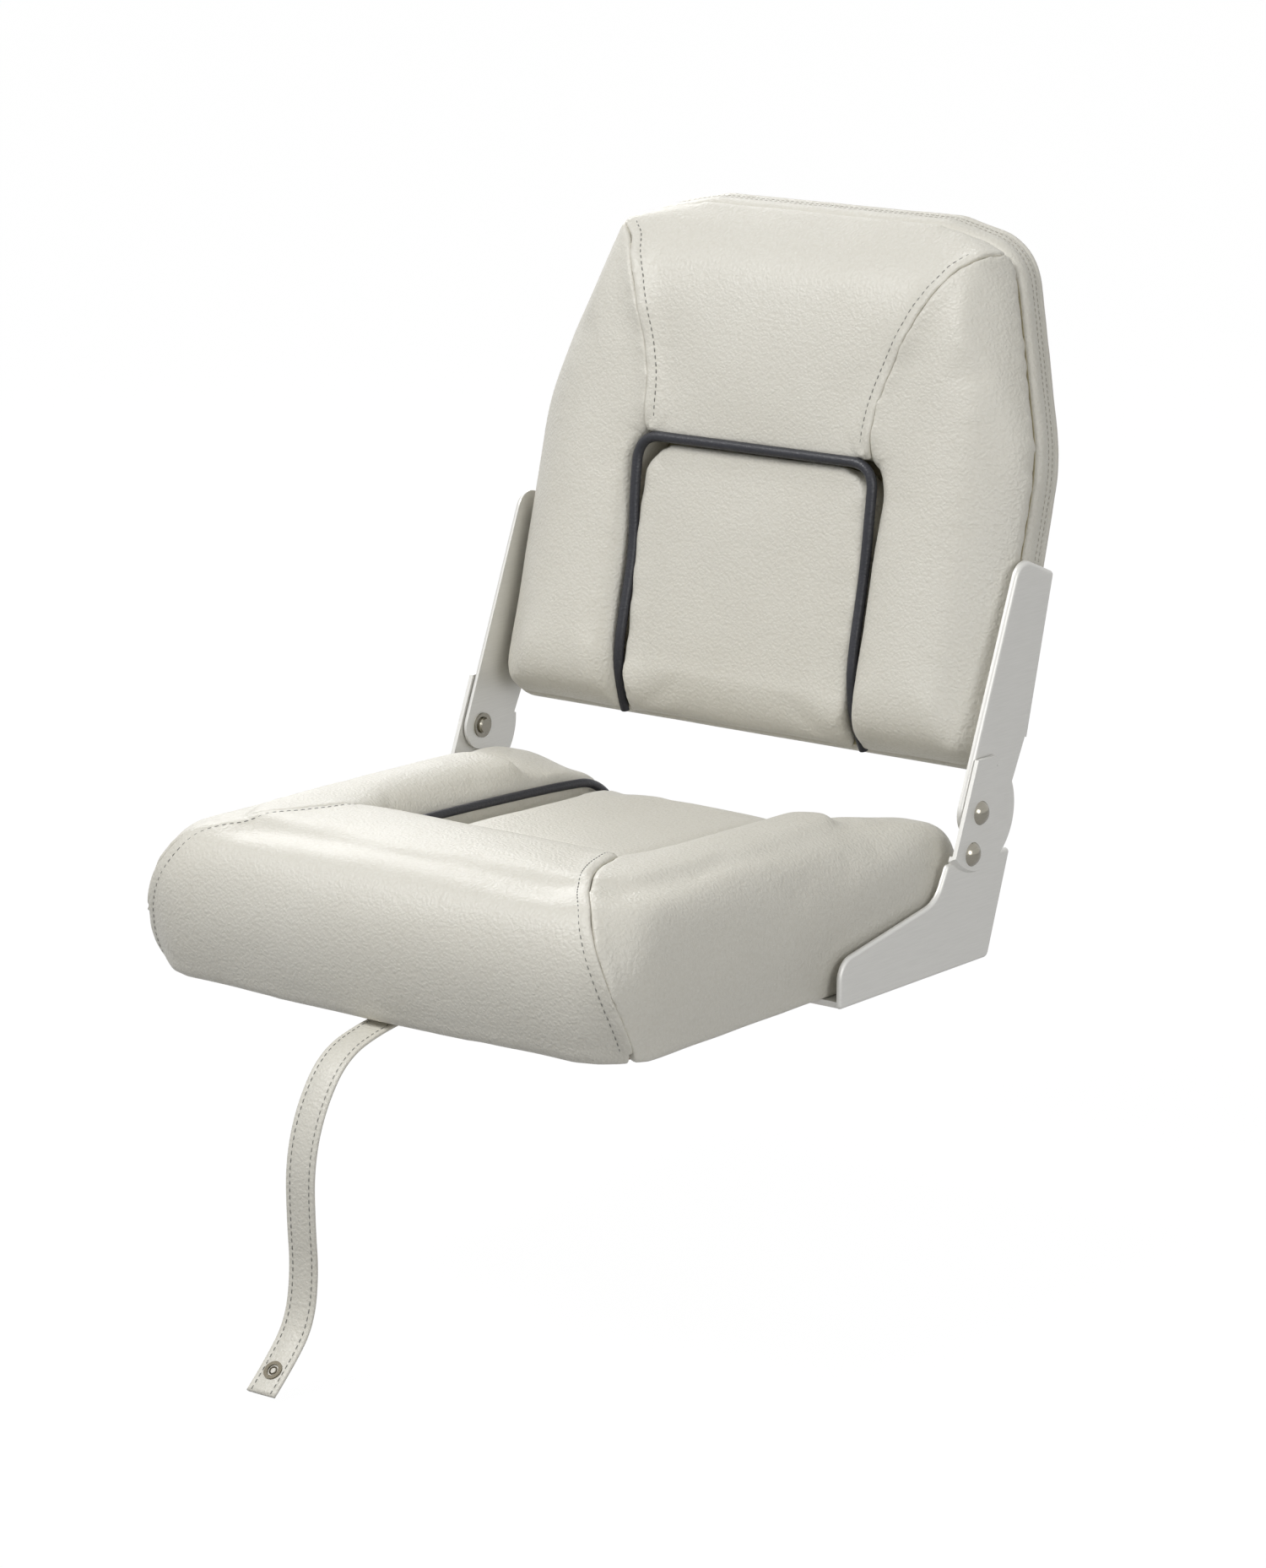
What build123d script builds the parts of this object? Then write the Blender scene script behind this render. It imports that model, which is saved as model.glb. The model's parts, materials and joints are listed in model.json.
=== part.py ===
"""Folding boat seat: padded vinyl seat and backrest on a pair of folding plate hinges.

Millimetres. X runs across the seat, Y towards the backrest, Z up. The origin is the centre
of the pedestal bolt pattern, on the underside of the seat board.
"""
from math import cos, hypot, radians, sin, sqrt, tan
import os

from build123d import *

os.makedirs("parts", exist_ok=True)

# Seat board and its pedestal nuts
board_side_skirt = 15
board_rear_skirt = 12
board_thick = 12
board_front_corner = 34
board_rear_corner = 12
bolt_spacing = 127
nut_bore = 6.4
nut_barrel = 8.4
nut_flange = 19
nut_flange_thick = 1.6

# Clearances that the fits share
fit_gap = 0.1
pin_gap = 0.05
soft_gap = 0.3
overrun = 40

# Hinge plates
hinge_side_gap = 6
arm_thick = 4
bracket_thick = 3
pivot_inset = 15.5
pivot_drop = 6
hinge_front_setback = 17
arm_lean = 22
arm_length = 170
arm_head_corner = 14
arm_small_corner = 3
heel_radius = 36.5
heel_rise = 4
stop_drop = 27.7
stop_shift = 1.4
stop_bush_radius = 6
stop_play = 0.02
washer_gap = 0.8
dish_pocket_gap = 1
dish_wall = 3.4
dish_top_rise = 36
bracket_toe_reach = 151.5
bracket_toe_height = 31.5
bracket_toe_corner = 15
bracket_slope_reach = 44
bracket_slope_height = 50
bracket_slope_corner = 30
bracket_shoulder_reach = 32
bracket_shoulder_drop = 30
bracket_heel_reach = 16
bracket_rear_reach = 41
bracket_rear_drop = 31.5
bracket_rear_corner = 5
foot_thick = 4
foot_width = 46
foot_bend = 2.4
flange_thick = 4
flange_width = 28
flange_start = 54
flange_bend = 3

# Rivets
rivet_head = 16.3
rivet_dome = 4.6
rivet_shank = 8
rivet_tail = 12
rivet_tail_height = 2.4
washer_outer = 17.6
washer_thick = 1.4
slide_washer_outer = 24

# Screws
screw_shank = 4.8
screw_head = 10
screw_head_height = 2.6
screw_slot_length = 6
screw_slot_width = 1.2
screw_slot_depth = 1.3
screw_grip = 9
screw_end_margin = 22

# Seat cushions
seat_half_width = 207
seat_rear_taper = 2
seat_front_overhang = 34.5
seat_front_bow = 5
seat_front_corner = 48
seat_bow_round = 900
seat_rear = 186.5
seat_rear_corner = 24
seat_roll_back = 57
seat_seam_round = 30
seat_crest = 104
seat_tilt = -1.5
seat_front_draw = 54
seat_side_draw = 44
seat_rear_draw = 42
bolster_rear_draw = 86
seat_seam_draw = 6
seat_roll_rear_draw = 24
seat_pad_height = 81
seat_pad_draw = 14
pad_half_width = 96.7
piping_diameter = 5.8

# Backrest
back_lean = 15
back_rear_depth = 43
back_boxing_width = 24
back_cover_thick = 1.5
back_board_thick = 12
back_boxing_thick = 3
back_bottom = 27
back_side_gap = 6.5
back_shoulder_up = 238
back_brow_in = 46
back_brow_up = 381
back_crown_in = 106.5
back_top = 394.5
back_top_draw = 8.2
back_bottom_round = 20
back_shoulder_round = 150
back_brow_round = 50
back_crown_round = 50
back_seam_round = 60
back_pad_top = 216.5
back_pad_round = 25
back_corner_cut = (9.5, 21)
back_crest = 40
back_crest_up = 284
back_top_edge = 4
back_lower_crest = 36
back_lower_crest_up = 75
back_pad_low_rise = 20
back_pad_low_up = 62
back_pad_high_rise = 33
back_side_draw = 36
back_brow_draw = 24
back_crown_draw = 8
back_groove_draw = 14

# Strap and snap
strap_width = 23.5
strap_thick = 2.4
strap_reach = (112, 150, 192, 230, 253, 264, 263.5, 261, 266, 284, 304)
strap_fall = (0, 0, 3, 13, 43, 77, 116, 148, 180, 201, 218)
strap_washer_outer = 16
strap_washer_thick = 1.2
strap_screw_inset = 10
snap_outer = 16.5
snap_height = 2.2
snap_bore = 8
snap_well = 1.5
snap_barrel = 9.8
snap_eyelet = 13
snap_eyelet_height = 1.2
snap_inset = 17
stud_outer = 14
stud_base = 1.5
stud_knob = 7.6
stud_knob_height = 3
stud_up = 340

# Worked out from the sizes above
board_width = 2 * (seat_half_width - board_side_skirt)
board_depth = 2 * (seat_rear - board_rear_skirt)
seat_front = board_depth / 2 + seat_front_overhang
seat_rear_half_width = seat_half_width - seat_rear_taper
plate_face_x = seat_half_width + hinge_side_gap
pivot_back = seat_rear - pivot_inset
pivot_up = seat_crest - pivot_drop
back_half_width = plate_face_x - back_side_gap
back_brow_half_width = back_half_width - back_brow_in
back_crown_half_width = back_half_width - back_crown_in
arm_inner_x = plate_face_x - arm_thick
bracket_inner_x = plate_face_x - bracket_thick
dish_inner_x = plate_face_x + washer_gap
dish_outer_x = dish_inner_x + bracket_thick
pocket_radius = heel_radius + dish_pocket_gap
plateau_radius = pocket_radius + dish_pocket_gap
dish_radius = pocket_radius + dish_wall
arm_rear_depth = back_rear_depth + flange_thick
front_seam_depth = back_rear_depth - back_boxing_width
groove_half = (piping_diameter + 2 * fit_gap) / 2
piping_x = pad_half_width + soft_gap + groove_half
bolster_inner = piping_x + groove_half


def lean_point(lean, up, back):
    """Height and setback from the pivot along an axis that leans back, as (y, z)."""
    tilt = radians(lean)
    y = pivot_back + back * cos(tilt) + up * sin(tilt)
    z = pivot_up - back * sin(tilt) + up * cos(tilt)
    return y, z


def side_plane(x):
    """A sketch plane square to X, whose own axes are Y and Z."""
    return Plane(origin=(x, 0, 0), x_dir=(0, 1, 0), z_dir=(1, 0, 0))


def back_plane(depth=0):
    """The backrest's plane, at a depth behind the pivot, facing forward."""
    y, z = lean_point(back_lean, 0, depth)
    tilt = radians(back_lean)
    return Plane(origin=(0, y, z), x_dir=(1, 0, 0), z_dir=(0, -cos(tilt), sin(tilt)))


def save(name, shape):
    export_step(shape, f"parts/{name}.step")


def save_pair(name, right):
    """One node on each side, the left one mirrored from the right."""
    save(f"{name}_right", right)
    save(f"{name}_left", mirror(right, about=Plane.YZ))


def disc_x(x_start, x_end, radius, y, z):
    """A round bar along X."""
    return extrude(side_plane(x_start) * Pos(y, z) * Circle(radius), x_end - x_start)


def inset_points(points, insets):
    """The corners of a closed outline whose edges move inwards, each by its own inset."""
    lines = []
    for (x0, y0), (x1, y1), inset in zip(points, points[1:] + points[:1], insets):
        run = hypot(x1 - x0, y1 - y0)
        dx, dy = (x1 - x0) / run, (y1 - y0) / run
        lines.append((x0 - dy * inset, y0 + dx * inset, dx, dy))
    corners = []
    for (ax, ay, adx, ady), (bx, by, bdx, bdy) in zip(lines[-1:] + lines[:-1], lines):
        cross = adx * bdy - ady * bdx
        step = ((bx - ax) * bdy - (by - ay) * bdx) / cross
        corners.append((ax + adx * step, ay + ady * step))
    return corners


def corner_radii(points, radii):
    """Corner radii, each held to what the two edges beside it have room for."""
    fitted = []
    for i, radius in enumerate(radii):
        before = Vector(*points[i]) - Vector(*points[i - 1])
        after = Vector(*points[(i + 1) % len(points)]) - Vector(*points[i])
        half_turn = radians(before.get_angle(after)) / 2
        room_share = 0.45
        room = room_share * min(before.length, after.length) / tan(half_turn)
        fitted.append(min(radius, room))
    return fitted


def outline_face(points, radii):
    """A face inside a closed outline with rounded corners."""
    return make_face(FilletPolyline(*points, radius=corner_radii(points, radii), close=True))


def cushion(base, outlines, radii, levels, ruled=False):
    """A form lofted through outlines, each with its level: a height, a tilt and edge insets."""
    sections = []
    for points, (height, tilt, insets) in zip(outlines, levels):
        level = base.offset(height).rotated((tilt, 0, 0))
        sections.append(level * outline_face(inset_points(points, insets), radii))
    return loft(sections, ruled=ruled)


def swept(section, path):
    """A section swept along a path that starts square to X."""
    start = Plane(origin=path @ 0, x_dir=(1, 0, 0), z_dir=path % 0)
    return sweep(start * section, path=path)


def rivet(head_x, tail_x, y, z):
    """A dome-headed rivet along X: head outside, tail set over its washer inside."""
    half = rivet_head / 2
    dome_arc = TangentArc((0, rivet_dome), (half, 0), tangent=(1, 0))
    dome_face = make_face([dome_arc, Line((half, 0), (0, 0)), Line((0, 0), (0, rivet_dome))])
    dome = Pos(head_x, y, z) * Rot(0, 90, 0) * revolve(Plane.XZ * dome_face, Axis.Z)
    shank = disc_x(tail_x, head_x, rivet_shank / 2, y, z)
    tail_disc = disc_x(tail_x - rivet_tail_height, tail_x, rivet_tail / 2, y, z)
    tail_rim = tail_disc.edges().filter_by(GeomType.CIRCLE).sort_by(Axis.X)[0]
    tail = chamfer(tail_rim, rivet_tail_height / 2)
    return dome + shank + tail


def ring_x(x_start, x_end, outer, bore, y, z):
    """A washer or bush along X."""
    ring = disc_x(x_start, x_end, outer / 2, y, z)
    return ring - disc_x(x_start, x_end, bore / 2, y, z)


def pan_screw(length):
    """A pan-head screw that points up Z, its head below the origin."""
    head = Pos(0, 0, -screw_head_height / 2) * Cylinder(screw_head / 2, screw_head_height)
    rim = head.edges().filter_by(GeomType.CIRCLE).sort_by(Axis.Z)[0]
    head = fillet(rim, screw_head_height / 2)
    shank = Pos(0, 0, length / 2) * Cylinder(screw_shank / 2, length)
    tip = shank.edges().filter_by(GeomType.CIRCLE).sort_by(Axis.Z)[-1]
    shank = chamfer(tip, screw_shank / 4)
    slot = Box(screw_slot_length, screw_slot_width, 2 * screw_slot_depth)
    return head + shank - Pos(0, 0, -screw_head_height) * slot


def screw_hole(length):
    """The clearance hole for one pan-head screw."""
    return Cylinder(screw_shank / 2 + fit_gap, length)


# Seat board: plywood with four tee nuts in a square pattern
nut_places = [
    Pos(x, y)
    for x in (-bolt_spacing / 2, bolt_spacing / 2)
    for y in (-bolt_spacing / 2, bolt_spacing / 2)
]


def board_form(grow, rise):
    """The board's form, grown sideways and upwards by a gap."""
    form = Box(board_width + 2 * grow, board_depth + 2 * grow, board_thick + 2 * rise)
    upright = form.edges().filter_by(Axis.Z).sort_by(Axis.Y)
    form = fillet(upright[:2], board_front_corner)
    upright = form.edges().filter_by(Axis.Z).sort_by(Axis.Y)
    return Pos(0, 0, board_thick / 2) * fillet(upright[-2:], board_rear_corner)


board = board_form(0, 0)
for place in nut_places:
    board -= place * Pos(0, 0, board_thick / 2) * Cylinder(nut_barrel / 2 + fit_gap, board_thick)
    recess = Cylinder(nut_flange / 2 + fit_gap, 2 * (nut_flange_thick + fit_gap))
    board -= place * Pos(0, 0, board_thick) * recess

# Tee nuts, barrels flush with the board's underside
nuts = []
for place in nut_places:
    barrel_length = board_thick - nut_flange_thick - fit_gap
    barrel = Pos(0, 0, barrel_length / 2) * Cylinder(nut_barrel / 2, barrel_length)
    flange = Pos(0, 0, barrel_length + nut_flange_thick / 2) * Cylinder(nut_flange / 2, nut_flange_thick)
    nuts.append(place * (barrel + flange - Cylinder(nut_bore / 2, overrun)))
save("tee_nuts", Compound(children=nuts))

# Hinge bracket: foot under the board, side plate, and a dish pressed out round the pivot
foot_z = -foot_thick
side_points = [
    (pivot_back - bracket_toe_reach, foot_z),
    (pivot_back + bracket_heel_reach, foot_z),
    (pivot_back + bracket_rear_reach, pivot_up - bracket_rear_drop),
    (pivot_back - bracket_shoulder_reach, pivot_up - bracket_shoulder_drop),
    (pivot_back - bracket_slope_reach, foot_z + bracket_slope_height),
    (pivot_back - bracket_toe_reach, foot_z + bracket_toe_height),
]
side_radii = [
    arm_small_corner,
    bracket_rear_corner,
    arm_small_corner,
    arm_small_corner,
    bracket_slope_corner,
    bracket_toe_corner,
]
side_plate = extrude(side_plane(bracket_inner_x) * outline_face(side_points, side_radii), bracket_thick)
dish_root_x = bracket_inner_x + bracket_thick / 2
dish = loft(
    [
        side_plane(dish_root_x) * Pos(pivot_back, pivot_up) * Circle(dish_radius),
        side_plane(dish_outer_x) * Pos(pivot_back, pivot_up) * Circle(plateau_radius),
    ],
    ruled=True,
)
dish_front = [
    lean_point(arm_lean, -overrun * 2, -hinge_front_setback),
    lean_point(arm_lean, overrun * 2, -hinge_front_setback),
    (pivot_back + dish_radius * 2, pivot_up + dish_radius * 2),
    (pivot_back + dish_radius * 2, pivot_up - dish_radius * 2),
]
dish &= extrude(side_plane(dish_root_x) * make_face(Polyline(*dish_front, close=True)), overrun)
top_cut_z = pivot_up + dish_top_rise
dish &= Pos(plate_face_x, pivot_back, top_cut_z - overrun * 2) * Box(overrun, overrun * 4, overrun * 4)
bracket = side_plate + dish
bracket -= disc_x(bracket_inner_x - overrun, dish_inner_x, pocket_radius, pivot_back, pivot_up)
wall_end_z = pivot_up + heel_rise - 2 * dish_pocket_gap
bracket -= Pos(dish_inner_x, pivot_back, wall_end_z) * Box(
    overrun, 4 * dish_radius, 2 * dish_radius, align=(Align.MAX, Align.CENTER, Align.MIN)
)
foot_length = bracket_toe_reach + bracket_heel_reach - arm_small_corner - bracket_rear_corner
foot_front = pivot_back - bracket_toe_reach + arm_small_corner
foot = Box(foot_width, foot_length, foot_thick, align=(Align.MAX, Align.MIN, Align.MIN))
foot = Pos(plate_face_x, foot_front, foot_z) * foot
bracket += foot
bend = [
    edge
    for edge in bracket.edges().filter_by(Axis.Y)
    if edge.center().X > plate_face_x - fit_gap and edge.center().Z < foot_z + fit_gap
]
bracket = fillet(bend, foot_bend)
stop_y, stop_z = lean_point(arm_lean, -stop_drop, stop_shift)
for y, z in ((pivot_back, pivot_up), (stop_y, stop_z)):
    bracket -= disc_x(dish_inner_x - overrun, dish_outer_x + overrun, rivet_shank / 2 + pin_gap, y, z)
foot_screw_x = plate_face_x - foot_width / 2 - foot_thick
screw_run = foot_length - 2 * screw_end_margin
foot_screw_places = [
    Pos(foot_screw_x, foot_front + screw_end_margin + screw_run * step / 2, foot_z)
    for step in range(3)
]
for place in foot_screw_places:
    bracket -= place * screw_hole(overrun)
save_pair("hinge_bracket", bracket)

# Screws that hold the brackets' feet up to the board
foot_screws = [place * pan_screw(foot_thick + screw_grip) for place in foot_screw_places]
save_pair("bracket_screws", Compound(children=foot_screws))
for place in foot_screw_places:
    hole = place * screw_hole(2 * (foot_thick + screw_grip + fit_gap))
    board -= hole
    board -= mirror(hole, about=Plane.YZ)

# Hinge arm: leaning plate with a nose round the pivot, a heel behind the stop and a rear flange
head_back = (arm_rear_depth - arm_length * sin(radians(arm_lean - back_lean))) / cos(
    radians(arm_lean - back_lean)
)
notch_depth = arm_rear_depth - flange_thick
heel_point = (
    pivot_back + sqrt(heel_radius**2 - heel_rise**2),
    pivot_up + heel_rise,
)
arm_points = [
    (pivot_back, pivot_up),
    heel_point,
    lean_point(back_lean, flange_start, notch_depth),
    lean_point(back_lean, flange_start, arm_rear_depth),
    lean_point(arm_lean, arm_length, head_back),
    lean_point(arm_lean, arm_length, -hinge_front_setback),
    lean_point(arm_lean, 0, -hinge_front_setback),
]
arm_face = make_face(Polyline(*arm_points, close=True))
head_front = arm_face.vertices().sort_by_distance(
    Vector(*lean_point(arm_lean, arm_length, -hinge_front_setback))
)[0]
arm_face = fillet(head_front, arm_head_corner)
head_rear = arm_face.vertices().sort_by_distance(
    Vector(*lean_point(arm_lean, arm_length, head_back))
)[0]
arm_face = fillet(head_rear, arm_small_corner)
shoulder_back = stop_shift + stop_bush_radius + stop_play
heel_zone = [
    (pivot_back, pivot_up),
    lean_point(arm_lean, 0, shoulder_back),
    lean_point(arm_lean, -2 * heel_radius, shoulder_back),
    (pivot_back + 2 * heel_radius, pivot_up - 2 * heel_radius),
    (pivot_back + 2 * (heel_point[0] - pivot_back), pivot_up + 2 * heel_rise),
]
heel = Pos(pivot_back, pivot_up) * Circle(heel_radius) & make_face(Polyline(*heel_zone, close=True))
nose = Pos(pivot_back, pivot_up) * Circle(hinge_front_setback)
arm = extrude(side_plane(arm_inner_x) * (arm_face + heel + nose), arm_thick)
head_top = arm_length * cos(radians(arm_lean - back_lean)) - head_back * sin(radians(arm_lean - back_lean))
flange_length = head_top - flange_start - arm_small_corner
flange = Box(flange_width, flange_length, flange_thick, align=(Align.MAX, Align.MIN, Align.MIN))
flange = back_plane(arm_rear_depth) * Pos(plate_face_x, flange_start, 0) * flange
arm += flange
flange_y, flange_z = lean_point(back_lean, flange_start + flange_length / 2, arm_rear_depth)
bend = arm.edges().sort_by_distance(Vector(plate_face_x, flange_y, flange_z))[0]
arm = fillet(bend, flange_bend)
arm -= disc_x(arm_inner_x - overrun, plate_face_x + overrun, rivet_shank / 2 + pin_gap, pivot_back, pivot_up)
flange_screw_x = plate_face_x - flange_width / 2 - flange_thick / 2
flange_run = flange_length - 2 * screw_end_margin
flange_screw_places = [
    back_plane(arm_rear_depth)
    * Pos(flange_screw_x, flange_start + screw_end_margin + flange_run * step / 2, 0)
    for step in range(3)
]
for place in flange_screw_places:
    arm -= place * screw_hole(overrun)
save_pair("hinge_arm", arm)
arm_screws = [place * pan_screw(flange_thick + screw_grip) for place in flange_screw_places]
save_pair("arm_screws", Compound(children=arm_screws))

# Pivot rivet with a slide washer between the plates and a steel washer under its tail
washer_end_x = arm_inner_x - washer_thick
save_pair("pivot_rivet", rivet(dish_outer_x, washer_end_x, pivot_back, pivot_up))
bore = rivet_shank + 2 * pin_gap
slide_ring = ring_x(plate_face_x, dish_inner_x, slide_washer_outer, bore, pivot_back, pivot_up)
save_pair("slide_washer", slide_ring)
save_pair("pivot_washer", ring_x(washer_end_x, arm_inner_x, washer_outer, bore, pivot_back, pivot_up))

# Stop rivet below it, with the bush that the arm's heel comes to rest on
save_pair("stop_rivet", rivet(dish_outer_x, arm_inner_x, stop_y, stop_z))
save_pair("stop_bush", ring_x(arm_inner_x, dish_inner_x, 2 * stop_bush_radius, bore, stop_y, stop_z))

# Seat cushions: one padded form, split by walls at its seams, wrapped round the board
seat_level_shares = (0, 0.17, 0.43, 0.62, 0.81, 0.925, 1)
front_bulge_shares = (0.25, 0.08, 0, 0.03, 0.2, 0.54, 1)
side_bulge_shares = (0.14, 0.05, 0, 0.05, 0.22, 0.54, 1)
rear_bulge_shares = (0.04, 0.02, 0, 0.05, 0.22, 0.54, 1)
bolster_rear_shares = (0.02, 0.01, 0, 0.01, 0.075, 0.42, 1)
wall_shares = (0, 0, 0, 0, 0.12, 0.42, 1)
groove_draw_share = 0.2
seam_out_shares = (0.21, 0.45, 0.71, 1.08)
seam_front_shares = (0.43, 0.69, 0.87, 1.05)
seam_low_out_shares = (0.21, 0.5, 0.92, 1.32)
seam_low_front_shares = (0.43, 0.63, 0.77, 0.91)
seam_lean_shares = (1, 0.73, 0.31, 0, 0, 0, 0)
board_block = board_form(soft_gap, fit_gap)


def seat_levels(height, draws):
    """Loft levels of a seat form: per edge, how far it draws in and the shares it follows."""
    levels = []
    for step, share in enumerate(seat_level_shares):
        insets = [draw * shares[step] + soft_gap for draw, shares in draws]
        levels.append((height * share, seat_tilt * share, insets))
    return levels


front_side = -seat_front + seat_front_bow
seat_points = [
    (-seat_half_width, front_side),
    (0, -seat_front),
    (seat_half_width, front_side),
    (seat_rear_half_width, seat_rear),
    (-seat_rear_half_width, seat_rear),
]
seat_radii = [seat_front_corner, seat_bow_round, seat_front_corner, seat_rear_corner, seat_rear_corner]
front = (seat_front_draw, front_bulge_shares)
side = (seat_side_draw, side_bulge_shares)
rear = (seat_rear_draw, rear_bulge_shares)
bolster_rear = (bolster_rear_draw, bolster_rear_shares)
seat_draws = [front, front, side, bolster_rear, side]
steady = len(seat_level_shares)
seat_form = cushion(Plane.XY, [seat_points] * steady, seat_radii, seat_levels(seat_crest, seat_draws))
seat_form -= board_block

seam_width = seat_half_width - bolster_inner
seam_depth = seat_front - seat_roll_back


def seam_points(lean):
    """The front seam's points, from its line above (lean 0) to where it ends below (lean 1)."""
    points = [(bolster_inner, -seat_roll_back)]
    low = zip(seam_low_out_shares, seam_low_front_shares)
    for out_share, front_share, (low_out, low_front) in zip(seam_out_shares, seam_front_shares, low):
        out = out_share + lean * (low_out - out_share)
        ahead = front_share + lean * (low_front - front_share)
        points.append((bolster_inner + out * seam_width, -seat_roll_back - ahead * seam_depth))
    return points


seams = [seam_points(lean) for lean in seam_lean_shares]
seam_turns = len(seam_out_shares)
open_side = (0, wall_shares)
seam_wall = (seat_seam_draw, wall_shares)
groove_wall = (groove_draw_share * seam_width, wall_shares)
wall_top = seat_crest + seat_front * sin(radians(-seat_tilt))
outside_x = seams[0][-1][0] + overrun
outside_y = seat_rear + overrun
bolster_outlines = [
    seam + [(outside_x, seam[-1][1]), (outside_x, outside_y), (bolster_inner, outside_y)] for seam in seams
]
bolster_draws = [seam_wall] * seam_turns + [open_side, open_side, open_side, groove_wall]
bolster_radii = [seat_seam_round] * seam_turns + [soft_gap] * (len(bolster_draws) - seam_turns)
bolster_walls = cushion(Plane.XY, bolster_outlines, bolster_radii, seat_levels(wall_top, bolster_draws), True)
save_pair("seat_bolster", seat_form & bolster_walls)

roll_front = -seat_front - overrun
roll_outlines = []
for seam in seams:
    corners = [(-seam[-1][0], roll_front), (seam[-1][0], roll_front)]
    roll_outlines.append([(-x, y) for x, y in seam] + corners + seam[::-1])
seam_radii = [seat_seam_round] * seam_turns + [soft_gap]
roll_radii = seam_radii + [soft_gap, soft_gap] + seam_radii[::-1]
seam_draws = [seam_wall] * seam_turns
roll_draws = seam_draws + [open_side, open_side, open_side] + seam_draws
roll_draws += [(seat_roll_rear_draw, wall_shares)]
roll_walls = cushion(Plane.XY, roll_outlines, roll_radii, seat_levels(wall_top, roll_draws), True)
save("seat_front_roll", seat_form & roll_walls)

pad_points = [
    (-pad_half_width, -seat_roll_back),
    (pad_half_width, -seat_roll_back),
    (pad_half_width, seat_rear),
    (-pad_half_width, seat_rear),
]
pad_side = (seat_pad_draw, wall_shares)
pad_radii = [soft_gap] * len(pad_points)
pad_levels = seat_levels(seat_pad_height, [pad_side, pad_side, rear, pad_side])
pad = cushion(Plane.XY, [pad_points] * steady, pad_radii, pad_levels)
save("seat_centre_pad", pad - board_block)

# Seat piping, in the grooves between the centre pad and the bolsters
bead = piping_diameter / 2
groove_z = seat_pad_height + bead
piping_rear = seat_rear - piping_diameter
bend_back = piping_rear - seat_rear_corner
bend_z = groove_z - piping_rear * tan(radians(-seat_tilt))
seat_piping_path = FilletPolyline(
    (piping_x, -seat_roll_back + bead, groove_z),
    (piping_x, bend_back, bend_z),
    (piping_x, piping_rear, bend_z - seat_rear_corner),
    (piping_x, piping_rear, board_thick + bead),
    radius=[seat_rear_corner, seat_rear_corner],
)
save_pair("seat_piping", swept(Circle(bead), seat_piping_path))

# Backrest carcass: rear cover, board and foam inside a boxing band
back_points = [
    (-back_half_width, back_bottom),
    (back_half_width, back_bottom),
    (back_half_width, back_shoulder_up),
    (back_brow_half_width, back_brow_up),
    (back_crown_half_width, back_top),
    (-back_crown_half_width, back_top),
    (-back_brow_half_width, back_brow_up),
    (-back_half_width, back_shoulder_up),
]
back_radii = [back_bottom_round, back_bottom_round, back_shoulder_round, back_brow_round]
back_radii += [back_crown_round, back_crown_round, back_brow_round, back_shoulder_round]
back_draw_shares = (0, 0, 0.1, 1, 1, 1, 0.1, 0)


def back_insets(depth, inset):
    """Edge insets at a depth behind the pivot, where the top has drawn in towards the front."""
    drawn = back_top_draw * (back_rear_depth - depth) / back_boxing_width
    return [drawn * share + inset for share in back_draw_shares]


def back_slab(rear_depth, thick, inset):
    """A straight slab that fits inside the band, from a depth behind the pivot to the front."""
    points = inset_points(back_points, back_insets(rear_depth - thick, inset))
    return extrude(back_plane(rear_depth) * outline_face(points, back_radii), thick)


def band_block(reach, inset):
    """A block with the band's slanted faces, reaching past both of its edges."""
    levels = []
    for depth in (back_rear_depth + reach, front_seam_depth - reach):
        levels.append((back_rear_depth - depth, 0, back_insets(depth, inset)))
    outlines = [back_points] * len(levels)
    return cushion(back_plane(back_rear_depth), outlines, back_radii, levels, True)


inner_inset = back_boxing_thick + soft_gap
save("back_boxing_band", band_block(0, 0) - band_block(overrun, back_boxing_thick))
board_rear = back_rear_depth - back_cover_thick
foam_rear = board_rear - back_board_thick
rear_cover = back_slab(back_rear_depth, back_cover_thick, inner_inset)
back_board = back_slab(board_rear, back_board_thick, inner_inset)
for place in flange_screw_places:
    hole = place * screw_hole(2 * (flange_thick + screw_grip + fit_gap))
    for right_or_left in (hole, mirror(hole, about=Plane.YZ)):
        rear_cover -= right_or_left
        back_board -= right_or_left
save("back_rear_cover", rear_cover)
save("back_board", back_board)
save("back_foam", back_slab(foam_rear, foam_rear - front_seam_depth, inner_inset))

# Backrest cushions: one padded form, trimmed to a side profile and split at its seams
front_plane = back_plane(front_seam_depth)
profile_plane = Plane(origin=front_plane.origin, x_dir=front_plane.y_dir, z_dir=front_plane.x_dir)
low_mid_shares = (0.24, 0.72)
flat_mid_shares = (0.5, 0.55)
high_mid_shares = (0.71, 0.27)


def profile_block(points, mid_shares):
    """A block across the backrest, below a side profile of arcs given as (up, rise)."""
    edges = [Line((back_bottom, 0), points[0])]
    for start, end, (up_share, rise_share) in zip(points, points[1:], mid_shares):
        mid_up = start[0] + up_share * (end[0] - start[0])
        mid_rise = start[1] + rise_share * (end[1] - start[1])
        edges.append(ThreePointArc(start, (mid_up, mid_rise), end))
    edges.append(Line(points[-1], (points[-1][0], 0)))
    edges.append(Line((points[-1][0], 0), (back_bottom, 0)))
    return extrude(profile_plane * make_face(edges), back_half_width, both=True)


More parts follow.
